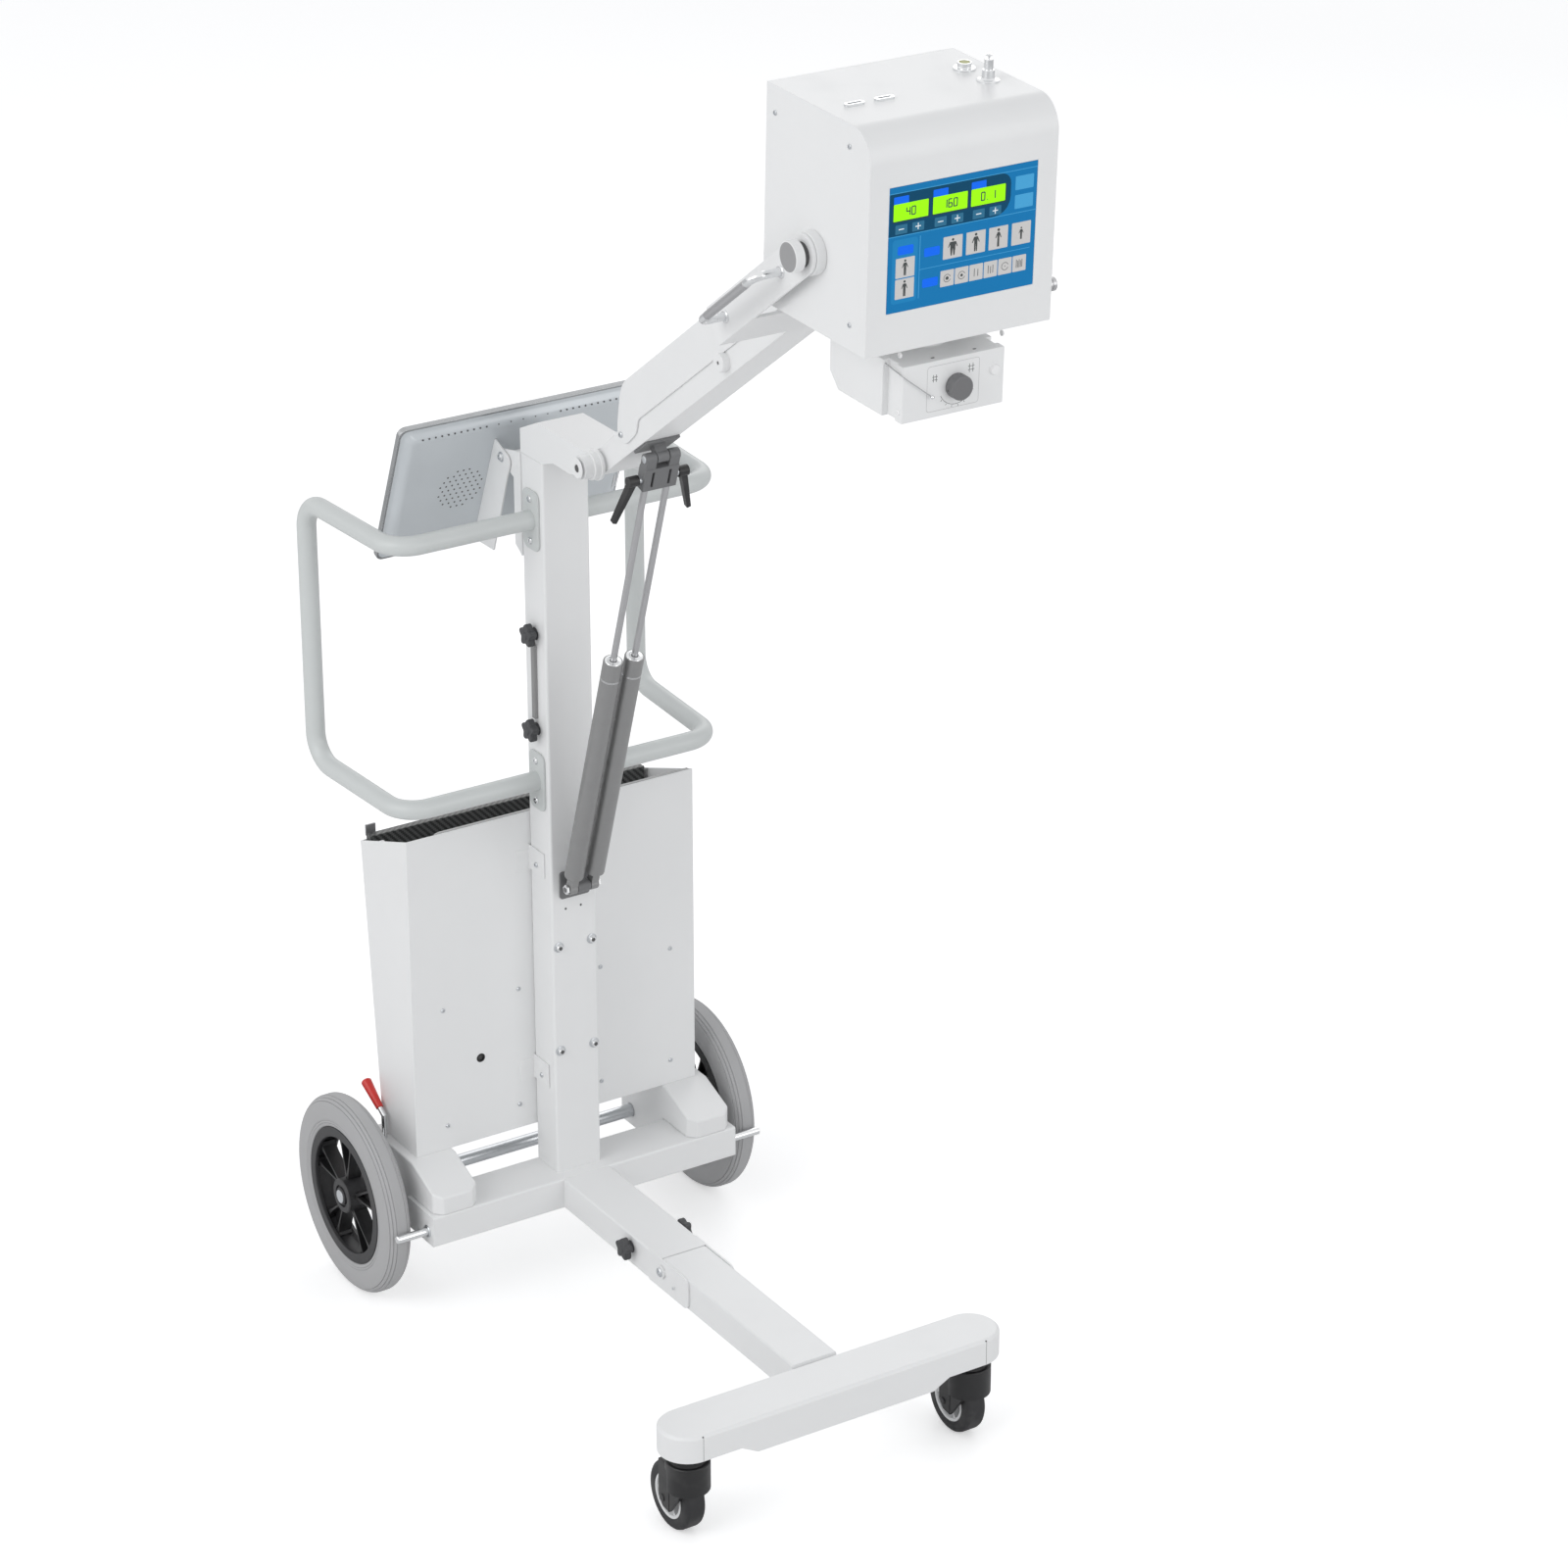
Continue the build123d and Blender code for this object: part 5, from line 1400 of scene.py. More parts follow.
@dataclass
class Chassis(SubAssembly):
    """The rear beam, the folding leg, the front bar, the wheel carriers and the brake."""

    tube_half: float = 39.0
    bar_half: float = 270.0
    bar_depth: float = 83.0
    bar_bottom: float = 135.0
    bar_height: float = 40.0
    leg_pivot: Point = (328.5, 160.0)
    rod_ahead: float = 157.5
    rod_height: float = 150.0
    beam_half: float = 256.0

    def build(self) -> None:
        """Builds every piece of the chassis."""
        for node, finish, bevel in (
                ("rear_beam", Finishes.white, 0.0), ("leg_rear", Finishes.white, 0.0),
                ("wheel_carriers", Finishes.white, 2.6), ("rear_axle", Finishes.zinc, 0.6),
                ("brake_rod", Finishes.chrome, 0.0), ("brake_lever", Finishes.chrome, 0.0),
                ("brake_grip", Finishes.red, 0.9)):
            self.dress(node, finish, bevel, 3)
        for node, finish, bevel in (("leg_front", Finishes.white, 0.0),
                                    ("caster_plates", Finishes.black, 0.8),
                                    ("front_bar", Finishes.white, 0.9)):
            self.dress(node, finish, bevel, body="front_leg")
        self._trim()

    def _trim(self) -> None:
        """Adds the small fasteners, the rod's bushes, and the seams of the leg and the bar."""
        level = LAYOUT.level
        px, pz = self.leg_pivot
        self.side_screws("Leg_pivot_bolts", level, [(px, pz)], self.tube_half + 4, 7.0, 2.5, recess=0.45)
        self.side_screws("Leg_rivets", level, [(px + 34, pz - 10)], self.tube_half + 3.05, 2.2, 0.6,
                         recess=0.5, sides=14, body="front_leg")
        seams = Form("Bar_seams")
        bar = LAYOUT.front_bar_ahead + self.bar_depth / 2
        top = self.bar_bottom + self.bar_height
        seam_and_shade = rectangle(bar - 0.3, self.bar_bottom + 1, bar + 0.12, top - 4)
        bushes = Form("Brake_bushes")
        for side in Side:
            y = side.value * (self.bar_half - self.bar_depth / 2)
            seams.prism(seam_and_shade, level, y - 0.35, y + 0.35, Finishes.line, 0)
            seams.lathe(rectangle(0, -1, 1.3, 0.25), level.at(bar - 1.4, top - 2.6, y), Vector((0.6, 0, 0.8)),
                        Finishes.seam_and_shade, 12)
            foot = level.at(self.rod_ahead - LAYOUT.axle_back, self.rod_height, side.value * self.beam_half)
            bushes.lathe([(6.2, -1), (9.4, -1), (9.4, 1.2), (8.4, 2.2), (6.2, 2.2)], foot, side.out,
                         Finishes.zinc, 28)
        seams.done("front_leg")
        bushes.done(self.body)


@dataclass
class StarKnobs(SubAssembly):
    """Five-lobed clamp knobs with a fluted edge, on the leg and on the column's rail."""

    radius: float = 17.0
    lobes: int = 5
    lobe_depth: float = 2.6
    lobe_steps: int = 14
    thick: float = 17.0
    leg_place: Point = (242.5, 159.0)
    leg_face: float = 39.0
    rail_heights: Point = (1023.0, 878.0)
    rail_face: float = 37.0

    def knob(self, form: Form, foot: Vector, side: Side) -> None:
        """Adds one knob whose neck stands on a face.

        Args:
            form: the piece it goes in.
            foot: the neck's foot, in metres.
            side: the way it faces.
        """
        axis = side.out
        neck = self.thick / 3
        form.lathe([(0, 0), (9.5, 0), (8, 1.5), (8, neck), (12, neck + 2.5), (0, neck + 2.5)], foot, axis,
                   Finishes.dark, 30)
        outline = []
        steps = self.lobes * self.lobe_steps
        for i in range(steps):
            turn = math.tau * i / steps
            reach = self.radius + self.lobe_depth * (math.cos(self.lobes * turn) - 1)
            outline.append((-reach * math.sin(turn), reach * math.cos(turn)))
        frame = frame_at(foot / MM + axis * neck, AHEAD, axis)
        form.block(frame, outline, self.thick - neck, Finishes.dark, 2.2, 3)
        form.lathe([(0, 0), (6, 0), (5, 0.9), (0, 1.2)], foot + axis * self.thick * MM, axis,
                   Finishes.dark, 24)

    def build(self) -> None:
        """Builds both pairs of knobs."""
        legs = Form("Leg_knobs")
        for side in Side:
            self.knob(legs, LAYOUT.level.at(*self.leg_place, side.value * self.leg_face), side)
        legs.done(self.body, ["leg_knobs"])
        rail = Form("Rail_knobs")
        for height in self.rail_heights:
            self.knob(rail, LAYOUT.level.at(0, height, -self.rail_face), Side.RIGHT)
        rail.done(self.body, ["rail_knobs"])


@dataclass
class Column(SubAssembly):
    """The column, its head with the arm's pivot, the slim rail, and the bolts on its front.

    Attributes:
        rail_cover: the rail's grey cover, as its back, bottom, front and top.
        bolts: the place across and the height of each bolt on the front.
    """

    depth: float = 59.0
    width: float = 74.0
    plate: float = 4.0
    disc_thick: float = 9.0
    cap_radius: float = 16.5
    cap_thick: float = 14.0
    rail_cover: tuple[float, float, float, float] = (-4.8, 895.0, 4.8, 1006.0)
    bolts: tuple[Point, ...] = ((-26.8, 544), (27.6, 544), (-27.3, 377), (28.5, 375))

    def build(self) -> None:
        """Builds the column's pieces."""
        self.dress("column", Finishes.white)
        self.dress("column_head", Finishes.white, 1.1, 3)
        level = LAYOUT.level
        rail = rectangle(*self.rail_cover)
        Form("Column_rail").prism(rail, level, -42.3, -37.1, Finishes.cylinder, 0.7).done(self.body)
        front = self.depth / 2
        bolts = [level.at(front, z, y) for y, z in self.bolts]
        washers = Form("Column_washers")
        for place in bolts:
            washers.lathe([(0, 0), (7.8, 0), (7.8, 1.2), (6.5, 1.7), (0, 1.7)], place, AHEAD,
                          Finishes.zinc, 28)
            # a dark disc over each bolt's socket: painted shade in its recess
            washers.lathe(rectangle(0, 6.0, 3.1, 6.3), place, AHEAD, Finishes.seam_and_shade, 6)
        washers.done(self.body)
        raised = [place + AHEAD * 1.6 * MM for place in bolts]
        self.screws("Column_bolts", raised, AHEAD, 5.6, 4.4, Finishes.chrome, 0.6)
        pips = [level.at(front, 602, y) for y in (-14, 11)]
        self.screws("Column_pips", pips, AHEAD, 1.7, 0.4, Finishes.seam_and_shade, 0.5, 12)
        sockets = Form("Arm_pivot_sockets")
        reach = self.width / 2 + 0.3 + self.plate + self.disc_thick + self.cap_thick
        cap = self.cap_radius
        for side in Side:
            foot = LAYOUT.arm.at(0, 0, side.value * (reach - 0.6))
            sockets.lathe([(5.6, 0), (cap - 2, 0), (cap - 3.4, 1.4), (6.4, 1.4), (5.6, 0.7)], foot, side.out,
                          Finishes.white, 48)
            # a dark disc in each socket's bore: painted shade
            sockets.lathe(rectangle(0, 0, 5.4, 0.75), foot, side.out, Finishes.seam_and_shade, 6)
        sockets.done(self.body)


@dataclass
class DetectorBin(SubAssembly):
    """The sheet bin on the column's back, its tabs and screws, and the carbon-faced detector in it.

    Attributes:
        hole: the grommet's place across and its height.
        tab_heights: the heights of the upper and lower tabs.
        screw_rows: the place across and the height of each screw on the front.
    """

    front: float = -29.8
    half_width: float = 236.0
    top: float = 739.0
    hole: Point = (-126.5, 367.0)
    hole_radius: float = 5.5
    tab_heights: Point = (663.0, 325.0)
    tab_face: float = 39.3
    screw_rows: tuple[Point, ...] = (
        (-186, 460), (-184, 272), (-64, 272.7), (-61.6, 461.3), (75.7, 459.6), (74.3, 271.6),
        (193.3, 272.9), (194.4, 458))

    def build(self) -> None:
        """Builds the bin and what it holds."""
        self.dress("bin_tray", Finishes.white, 0.8, 3)
        self.dress("bin_tabs", Finishes.white, 0.6)
        self.dress("detector", Finishes.carbon, 1.5, 3)
        level = LAYOUT.level
        places = [level.at(self.front, z, y) for y, z in self.screw_rows]
        self.screws("Bin_screws", places, AHEAD, 3.4, 2.0, Finishes.zinc, 0.45)
        centre = level.at(self.front, self.hole[1], self.hole[0])
        r = self.hole_radius
        rim = Form("Bin_grommet").lathe([
            (r - 1.0, -2.4), (r - 1.0, 0.8), (r + 0.8, 0.8), (r + 1.4, 0.2), (r + 1.4, 0.0), (r - 0.1, 0.0),
            (r - 0.1, -2.4)], centre, AHEAD, Finishes.black, 30)
        # a dark disc at the back of the hole: painted shade inside the grommet
        rim.lathe(rectangle(0, -2.6, r - 0.4, -2.2), centre, AHEAD, Finishes.seam_and_shade, 30)
        rim.done(self.body)
        upper, lower = self.tab_heights
        rivets = [(self.front + 22, upper), (self.front + 24, lower)]
        self.side_screws("Bin_rivets", level, rivets, self.tab_face, 3.8, 2.2, recess=0.5)
        self._hem()
        self._joggles()
        self._end_angle()

    def _joggles(self) -> None:
        """Adds the shallow pressed pads where the tabs are welded on."""
        pads = Form("Bin_joggles")
        frame = Matrix.Translation(LAYOUT.level.at(self.front - 0.4, 0) / MM) @ Matrix.Rotation(
            math.pi / 2, 4, "Z") @ Matrix.Rotation(math.pi / 2, 4, "X")
        for height in self.tab_heights:
            for side in Side:
                near, far = sorted((side.value * 37.3, side.value * 62.0))
                outline = rounded(rectangle(near, height - 17, far, height + 17), 3.0, 4)
                pads.block(frame, outline, 1.1, Finishes.white, 0.5, 3)
        pads.done(self.body)

    def _end_angle(self) -> None:
        """Adds the grey angle over the detector's right end, with a lip that stands up at its back."""
        low, high = (Vector(corner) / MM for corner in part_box("detector"))
        angle = Form("Detector_end_angle")
        start = low.y - 0.8
        for outline, width in ((rectangle(high.x - 17, high.z - 30, high.x + 0.6, high.z + 0.8), 10),
                               (rectangle(low.x - 0.6, high.z - 4, low.x + 2.2, high.z + 13), 16)):
            angle.prism(outline, View(), start, start + width, Finishes.satin, 0.6)
        angle.done(self.body)

    def _hem(self) -> None:
        """Adds the folded hem behind the bin's front edge, in pale grey: painted shade on the bin's white
        sheet.
        """
        frame = Matrix.Translation(LAYOUT.level.at(self.front - 6.0, self.top - 0.6) / MM)
        half = self.half_width
        outline = rounded([(0, 56 - half), (4.6, 42 - half), (4.6, half - 6), (0, half - 6)], 0.8, 3)
        Form("Bin_hem").block(frame, outline, 1.2, Finishes.print_and_shade_grey, 0.4).done(self.body)


@dataclass
class PushHandles(SubAssembly):
    """The two bent tube handles and their flange plates."""

    flange_face: float = 40.3
    flange_heights: Point = (1194.0, 798.5)
    bolt_reach: float = 30.7

    def build(self) -> None:
        """Builds the handles and the bolts of their flanges."""
        for side in Side:
            name = f"handle_{side.name.lower()}"
            self.dress(name, Finishes.handle, 0.6)
            places = [LAYOUT.level.at(0, height + way * self.bolt_reach, side.value * self.flange_face)
                      for height in self.flange_heights for way in (-1, 1)]
            self.screws(f"{name}_bolts", places, side.out, 5.0, 3.0, Finishes.chrome, 0.55)


@dataclass
class Arm(SubAssembly):
    """The arm's beam, its folded cover, the yoke and the pull handle.

    Attributes:
        cover_screw: the place of the cover's front screws, along and above the arm.
        cover_rear_screw: the place of its rear screws.
        boss: the place of the white bosses.
    """

    body: str = "arm"
    half_width: float = 28.0
    cover_half: float = 31.3
    cover_screw: Point = (86.0, 12.6)
    cover_rear_screw: Point = (618.0, 30.0)
    boss: Point = (401.0, 4.0)
    boss_radius: float = 12.5
    boss_out: float = 11.5
    yoke_half: float = 150.0
    grip_start: float = 643.0
    grip_pitch: float = 156.0
    grip_out: float = 37.0
    grip_tube: float = 5.3
    grip_bend: float = 14.0
    sleeve_inset: float = 22.0

    def build(self) -> None:
        """Builds the arm's pieces."""
        for node, finish, bevel in (("arm_beam", Finishes.white, 1.8), ("arm_cover", Finishes.white, 0.9),
                                    ("yoke", Finishes.white, 0.9), ("spring_clevis", Finishes.casting, 1.0)):
            self.dress(node, finish, bevel, 3)
        self._grip()
        arm = LAYOUT.arm
        for name, spot, radius in (("Cover_screws", self.cover_screw, 4.4),
                                   ("Cover_rear_screws", self.cover_rear_screw, 3.6)):
            self.side_screws(name, arm, [spot], self.cover_half, radius, 2.2)
        bosses = Form("Arm_bosses")
        r, out = self.boss_radius, self.boss_out
        for side in Side:
            foot = arm.at(*self.boss, side.value * self.half_width)
            bosses.lathe([(0, -0.4), (r, -0.4), (r, out - 1), (r - 1, out), (2.7, out), (2.5, out - 0.4),
                          (2.5, out - 3), (0, out - 3)], foot, side.out, Finishes.white, 48)
            # a dark plug in the boss's centre recess: painted shade
            bosses.lathe(rectangle(0, out - 3.2, 2.3, out - 0.8), foot, side.out, Finishes.seam_and_shade, 16)
        bosses.done(self.body)

    def _grip(self) -> None:
        """Adds the pull handle: bright bends and feet with a darker satin middle."""
        arm = LAYOUT.arm
        face = self.yoke_half - 0.2
        out = face + self.grip_out
        low, high = self.grip_start, self.grip_start + self.grip_pitch
        corners = [arm.at(s, 0, -y) for s, y in ((low, face), (low, out), (high, out), (high, face))]
        r, inset = self.grip_tube, self.sleeve_inset
        grip = Form("Yoke_grip").tube(bent_route(corners, self.grip_bend, 12), r, Finishes.chrome, 10)
        length = self.grip_pitch - 2 * inset
        grip.lathe([(r - 0.4, 0), (r + 0.35, 0.6), (r + 0.35, length - 0.6), (r - 0.4, length)],
                   arm.at(low + inset, 0, -out), arm.along(), Finishes.satin, 44)
        for s in (low, high):
            grip.lathe([(0, 0), (8.2, 0), (8.2, 1.6), (7.2, 2.6), (0, 2.6)], arm.at(s, 0, -face),
                       Side.RIGHT.out, Finishes.chrome, 36)
        grip.done(self.body, ["yoke_grip"])


@dataclass
class GasSprings(SubAssembly):
    """The two gas springs, their foot, the block at their top and its clamp levers."""

    pitch: float = 34.0
    radius: float = 14.0
    rod: float = 4.6
    shown: float = 297.0
    web_bottom: float = 48.0
    block_half: float = 26.0
    lever_along: float = 15.0

    def build(self) -> None:
        """Builds the springs' pieces."""
        self.dress("spring_base", Finishes.casting, 1.0)
        for node, finish, bevel, segments in (("spring_rods", Finishes.satin, 0.0, 2),
                                              ("spring_block", Finishes.casting, 1.0, 2),
                                              ("clamp_levers", Finishes.black, 1.5, 3)):
            self.dress(node, finish, bevel, segments, "spring_upper")
        view = LAYOUT.spring
        cap = LAYOUT.spring_length - self.web_bottom - self.shown
        r, rod, along = self.radius, self.rod, view.along()
        cylinders = Form("Spring_cylinders").copy_of("spring_cylinders", Finishes.cylinder, 0.9)
        for y in (-self.pitch / 2, self.pitch / 2):
            cylinders.lathe([(rod + 0.4, -0.5), (r - 1.6, -0.5), (r - 2.2, 0.5), (8.2, 0.5), (7.6, 1.6),
                             (rod + 1.4, 1.6), (rod + 0.4, 0.9)], view.at(cap, 0, y), along,
                            Finishes.chrome, 40)
            for back in (29.0, 30.6):
                cylinders.lathe(rectangle(r - 0.6, -0.3, r + 0.12, 0.3), view.at(cap - back, 0, y), along,
                                Finishes.chrome, 48)
        cylinders.done("spring_lower", ["spring_cylinders"])
        self._pins(view)

    def _pins(self, view: View) -> None:
        """Adds the bright ends of the pins at both ends, and the clamp levers' washers.

        Args:
            view: the plane along the springs.
        """
        tops = Form("Spring_pin_ends")
        feet = Form("Spring_foot_nuts")
        length = LAYOUT.spring_length
        for side in Side:
            out, y = side.out, side.value * self.block_half
            tops.lathe([(0, 0), (5.2, 0), (5.2, 0.7), (4.2, 1.3), (0, 1.3)], view.at(length, 0, y), out,
                       Finishes.zinc, 28)
            lever = view.at(length - self.web_bottom + self.lever_along, 0, y)
            tops.lathe(rectangle(0, 0, 5.6, 4.4), lever, out, Finishes.zinc, 28)
            foot = view.at(0, 0, side.value * (self.pitch / 2 + 6.6))
            feet.lathe([(0, 0), (6.6, 0), (7.2, 0.7), (7.2, 3.6), (6.4, 4.4), (0, 4.4)], foot, out,
                       Finishes.chrome, 6)
        tops.done("spring_upper")
        feet.done("spring_lower")


@dataclass
class Head(SubAssembly):
    """The x-ray head's shell, screen, pivots and fittings.

    Attributes:
        screws_at: the side screws, ahead and above the pivot.
        readouts: each readout's left edge as a share of the screen, and the figures it shows.
        strokes: which of the seven strokes each figure uses, from the top one round to the middle.
    """

    body: str = "head"
    half_depth: float = 112.0
    half_width: float = 132.5
    above: float = 177.5
    screen_size: Point = (209.0, 155.0)
    screen_centre: float = 30.3
    knob_face: float = 170.0
    knob_radius: float = 19.5
    yoke_face: float = 150.0
    spigot: Point = (14.0, 97.0)
    socket: Point = (-36.0, 97.0)
    loops: Point = (-92.0, -50.0)
    latch: Point = (98.0, -58.0)
    screws_at: tuple[Point, ...] = ((-92.0, 144.0), (68.0, 150.0), (78.0, -66.0), (-92.0, -73.0))
    readouts: tuple[tuple[float, str], ...] = ((0.03, "40"), (0.293, "160"), (0.55, "0.1"))
    strokes: tuple[tuple[str, str], ...] = (("0", "abcdef"), ("1", "bc"), ("4", "bcfg"), ("6", "acdefg"))

    def build(self) -> None:
        """Builds the head's pieces."""
        self.dress("head_shell", Finishes.white, 2.0)
        self._pivots()
        self._fittings()
        self._screen()
        for side in Side:
            places = [LAYOUT.head.at(u, v, side.value * self.half_width) for u, v in self.screws_at]
            self.screws(f"Head_screws_{side.name.lower()}", places, side.out, 3.4, 1.6)

    def _pivots(self) -> None:
        """Adds the spacers and knobs, each with a dark ring of painted shade in the gap behind it and a grey
        inlaid face.
        """
        pivots = Form("Tilt_pivots").copy_of("tilt_pivots", Finishes.white, 1.2)
        face, r, centre = self.knob_face, self.knob_radius, LAYOUT.head.at(0, 0)
        for side in Side:
            pivots.lathe([(0, face - 0.6), (r - 1.6, face - 0.6), (r - 1.6, face + 0.25),
                          (r - 2.0, face + 0.4), (0, face + 0.4)], centre, side.out, Finishes.inlay, 56)
            # a dark ring between the yoke and the knob: painted shade in the gap
            gap = rectangle(11.0, self.yoke_face + 0.2, 15.5, face - 13.1)
            pivots.lathe(gap, centre, side.out, Finishes.seam_and_shade, 40)
        pivots.done(self.body, ["tilt_pivots"])

    def _fittings(self) -> None:
        """Adds the spigot, the flanged socket with its yellow insert, two strap loops and the side latch."""
        view = LAYOUT.head
        up = view.up()
        form = Form("Head_fittings")
        foot = view.at(self.spigot[0], self.above, self.spigot[1])
        form.lathe([(0, 0), (14, 0), (14, 1.2), (12.6, 2.2), (9.4, 2.6), (8, 3.6), (7.6, 4.2), (7.6, 13.4),
                    (7, 14), (5.6, 14.2), (5.4, 14.8), (5.4, 26.4), (4.8, 27), (2, 27.2), (1.5, 27.8),
                    (1.5, 30.2), (3.9, 31.2), (4, 32.2), (1.6, 33), (1.2, 34), (0, 34)], foot, up,
                   Finishes.chrome, 44)
        foot = view.at(self.socket[0], self.above, self.socket[1])
        form.lathe([(0, 0), (14, 0), (14, 1.6), (13.2, 2.6), (9.4, 3), (8.6, 3.8), (8.6, 5.2), (9, 5.6),
                    (9, 8.4), (8.4, 9), (7, 9), (6.8, 7.6), (0, 7.6)], foot, up, Finishes.chrome, 48)
        form.lathe([(0, 7.4), (6.6, 7.4), (6.6, 8.2), (5.4, 8.6), (0, 8.6)], foot, up, Finishes.brass, 36)
        frame = frame_at(view.at(0, self.above) / MM, view.along(), up)
        for across in self.loops:
            outer = rounded(rectangle(9.5, across - 13, 18.5, across + 13), 3.4, 6)
            inner = rounded(rectangle(11.7, across - 9.6, 16.3, across + 9.6), 1.6, 6)
            form.border(frame, outer, inner, 3.4, Finishes.chrome)
        form.done(self.body, ["head_fittings"])
        latch = Form("Head_latch").lathe(
            [(0, -1), (9.2, -1), (9.2, 5), (8.2, 5.6), (8.2, 6.6), (9, 7.2), (9, 12), (8, 13), (0, 13)],
            view.at(*self.latch, self.half_width), LEFT, Finishes.satin, 40)
        latch.done(self.body)

    def _screen(self) -> None:
        """Adds the display: a lit base, a navy band, readouts with figures, keys and plain picture tiles."""
        view = LAYOUT.head
        place = view.at(self.half_depth - 1.5, self.screen_centre)
        self.frame = frame_at(place / MM, LEFT, view.along())
        self.form = Form("Head_screen")
        self._tile((0.002, 0.002, 0.998, 0.998), Finishes.glow_blue, 1.2, 0.5)
        self._tile((0.004, 0.054, 0.82, 0.388), Finishes.glow_navy, 1.24, (0.5, 22, 14, 0.5))
        for line in ((0.0, 0.048, 1.0, 0.053), (0.0, 0.39, 1.0, 0.395), (0.213, 0.42, 0.217, 0.92),
                     (0.217, 0.69, 0.965, 0.694)):
            self._tile(line, Finishes.glow_light, 1.28, 0)
        self._tile((0.03, 0.42, 0.2, 0.93), Finishes.glow_panel, 1.22, 4)
        for x, figures in self.readouts:
            self._readout(x, figures)
        for y in (0.10, 0.25):
            self._tile((0.85, y, 0.975, y + 0.11), Finishes.glow_light, 1.28)
        for x, y in ((0.066, 0.475), (0.244, 0.53), (0.238, 0.775)):
            self._tile((x, y, x + 0.105, y + 0.07), Finishes.glow_tab, 1.3, 1.8)
        for y in (0.57, 0.737):
            self._tile((0.055, y, 0.182, y + 0.158), Finishes.glow_tile, 1.3)
            self._person(0.118, y + 0.079, 0.13, 0.75)
        for x, tall, girth in ((0.372, 0.14, 2.6), (0.528, 0.15, 1.1), (0.682, 0.15, 0.2),
                               (0.838, 0.1, 0.8)):
            self._tile((x, 0.473, x + 0.13, 0.652), Finishes.glow_tile, 1.3)
            self._person(x + 0.065, 0.562, tall, girth)
        for k in range(6):
            x = 0.36 + 0.0985 * k
            self._tile((x, 0.74, x + 0.092, 0.869), Finishes.glow_tile, 1.3)
            self._mark(x + 0.046, 0.805, k)
        self.form.done(self.body, ["head_screen"])

    def _readout(self, x: float, figures: str) -> None:
        """Adds one readout with its tab, its figures, and its minus and plus keys.

        Args:
            x: its left edge, as a share of the screen.
            figures: what it shows.
        """
        self._tile((x, 0.079, x + 0.10, 0.15), Finishes.glow_tab, 1.28)
        self._tile((x - 0.004, 0.136, x + 0.24, 0.282), Finishes.glow_shade, 1.3)
        self._tile((x, 0.137, x + 0.232, 0.272), Finishes.glow_lime, 1.34)
        self._figures(figures, x + 0.116, 0.206)
        for mid, plus in ((x + 0.055, False), (x + 0.168, True)):
            self._tile((mid - 0.04, 0.303, mid + 0.04, 0.376), Finishes.glow_key, 1.28)
            self._tile((mid - 0.018, 0.336, mid + 0.018, 0.343), Finishes.glow_white, 1.32, 0)
            if plus:
                self._tile((mid - 0.0026, 0.314, mid + 0.0026, 0.365), Finishes.glow_white, 1.32, 0)

    def _tile(self, box: tuple[float, float, float, float], finish: Finish, depth: float,
              corner: float | Sequence[float] = 1.0) -> None:
        """Adds a flat tile by its corners, as shares of the screen from its upper left.

        Args:
            box: its left, upper, right and lower edge.
            finish: its finish.
            depth: how far it stands out.
            corner: the radius of its corners, or one for each.
        """
        (left, top), (right, low) = self._at(box[0], box[1]), self._at(box[2], box[3])
        outline = rounded(rectangle(left, low, right, top), corner, 5)
        self.form.block(self.frame, outline, depth, finish, 0)

    def _at(self, x: float, y: float) -> Point:
        """Turns shares of the screen into millimetres from its middle."""
        return (x - 0.5) * self.screen_size[0], (0.5 - y) * self.screen_size[1]

    def _draw(self, outline: Sequence[Point]) -> None:
        """Adds an inked outline, in millimetres from the screen's middle."""
        self.form.block(self.frame, outline, 1.4, Finishes.ink, 0)

    def _figures(self, text: str, x: float, y: float) -> None:
        """Adds a readout's figures, each made of thin strokes, and a square point.

        Args:
            text: the figures.
            x: the place of their middle, as a share of the screen.
            y: the same from the top.
        """
        cx, cy = self._at(x, y)
        half, tall, pitch, t = 2.4, 4.9, 7.4, 0.75
        shapes = {"a": (-half, tall - t, half, tall + t), "b": (half - t, 0, half + t, tall),
                  "c": (half - t, -tall, half + t, 0), "d": (-half, -tall - t, half, -tall + t),
                  "e": (-half - t, -tall, t - half, 0), "f": (-half - t, 0, t - half, tall),
                  "g": (-half, -t, half, t), ".": (-1.4, -tall - t, -0.3, 0.8 - tall)}
        used = dict(self.strokes)
        for k, figure in enumerate(text):
            place = cx + (k - (len(text) - 1) / 2) * pitch
            for stroke in used.get(figure, figure):
                left, low, right, top = shapes[stroke]
                self._draw(rectangle(place + left, cy + low, place + right, cy + top))

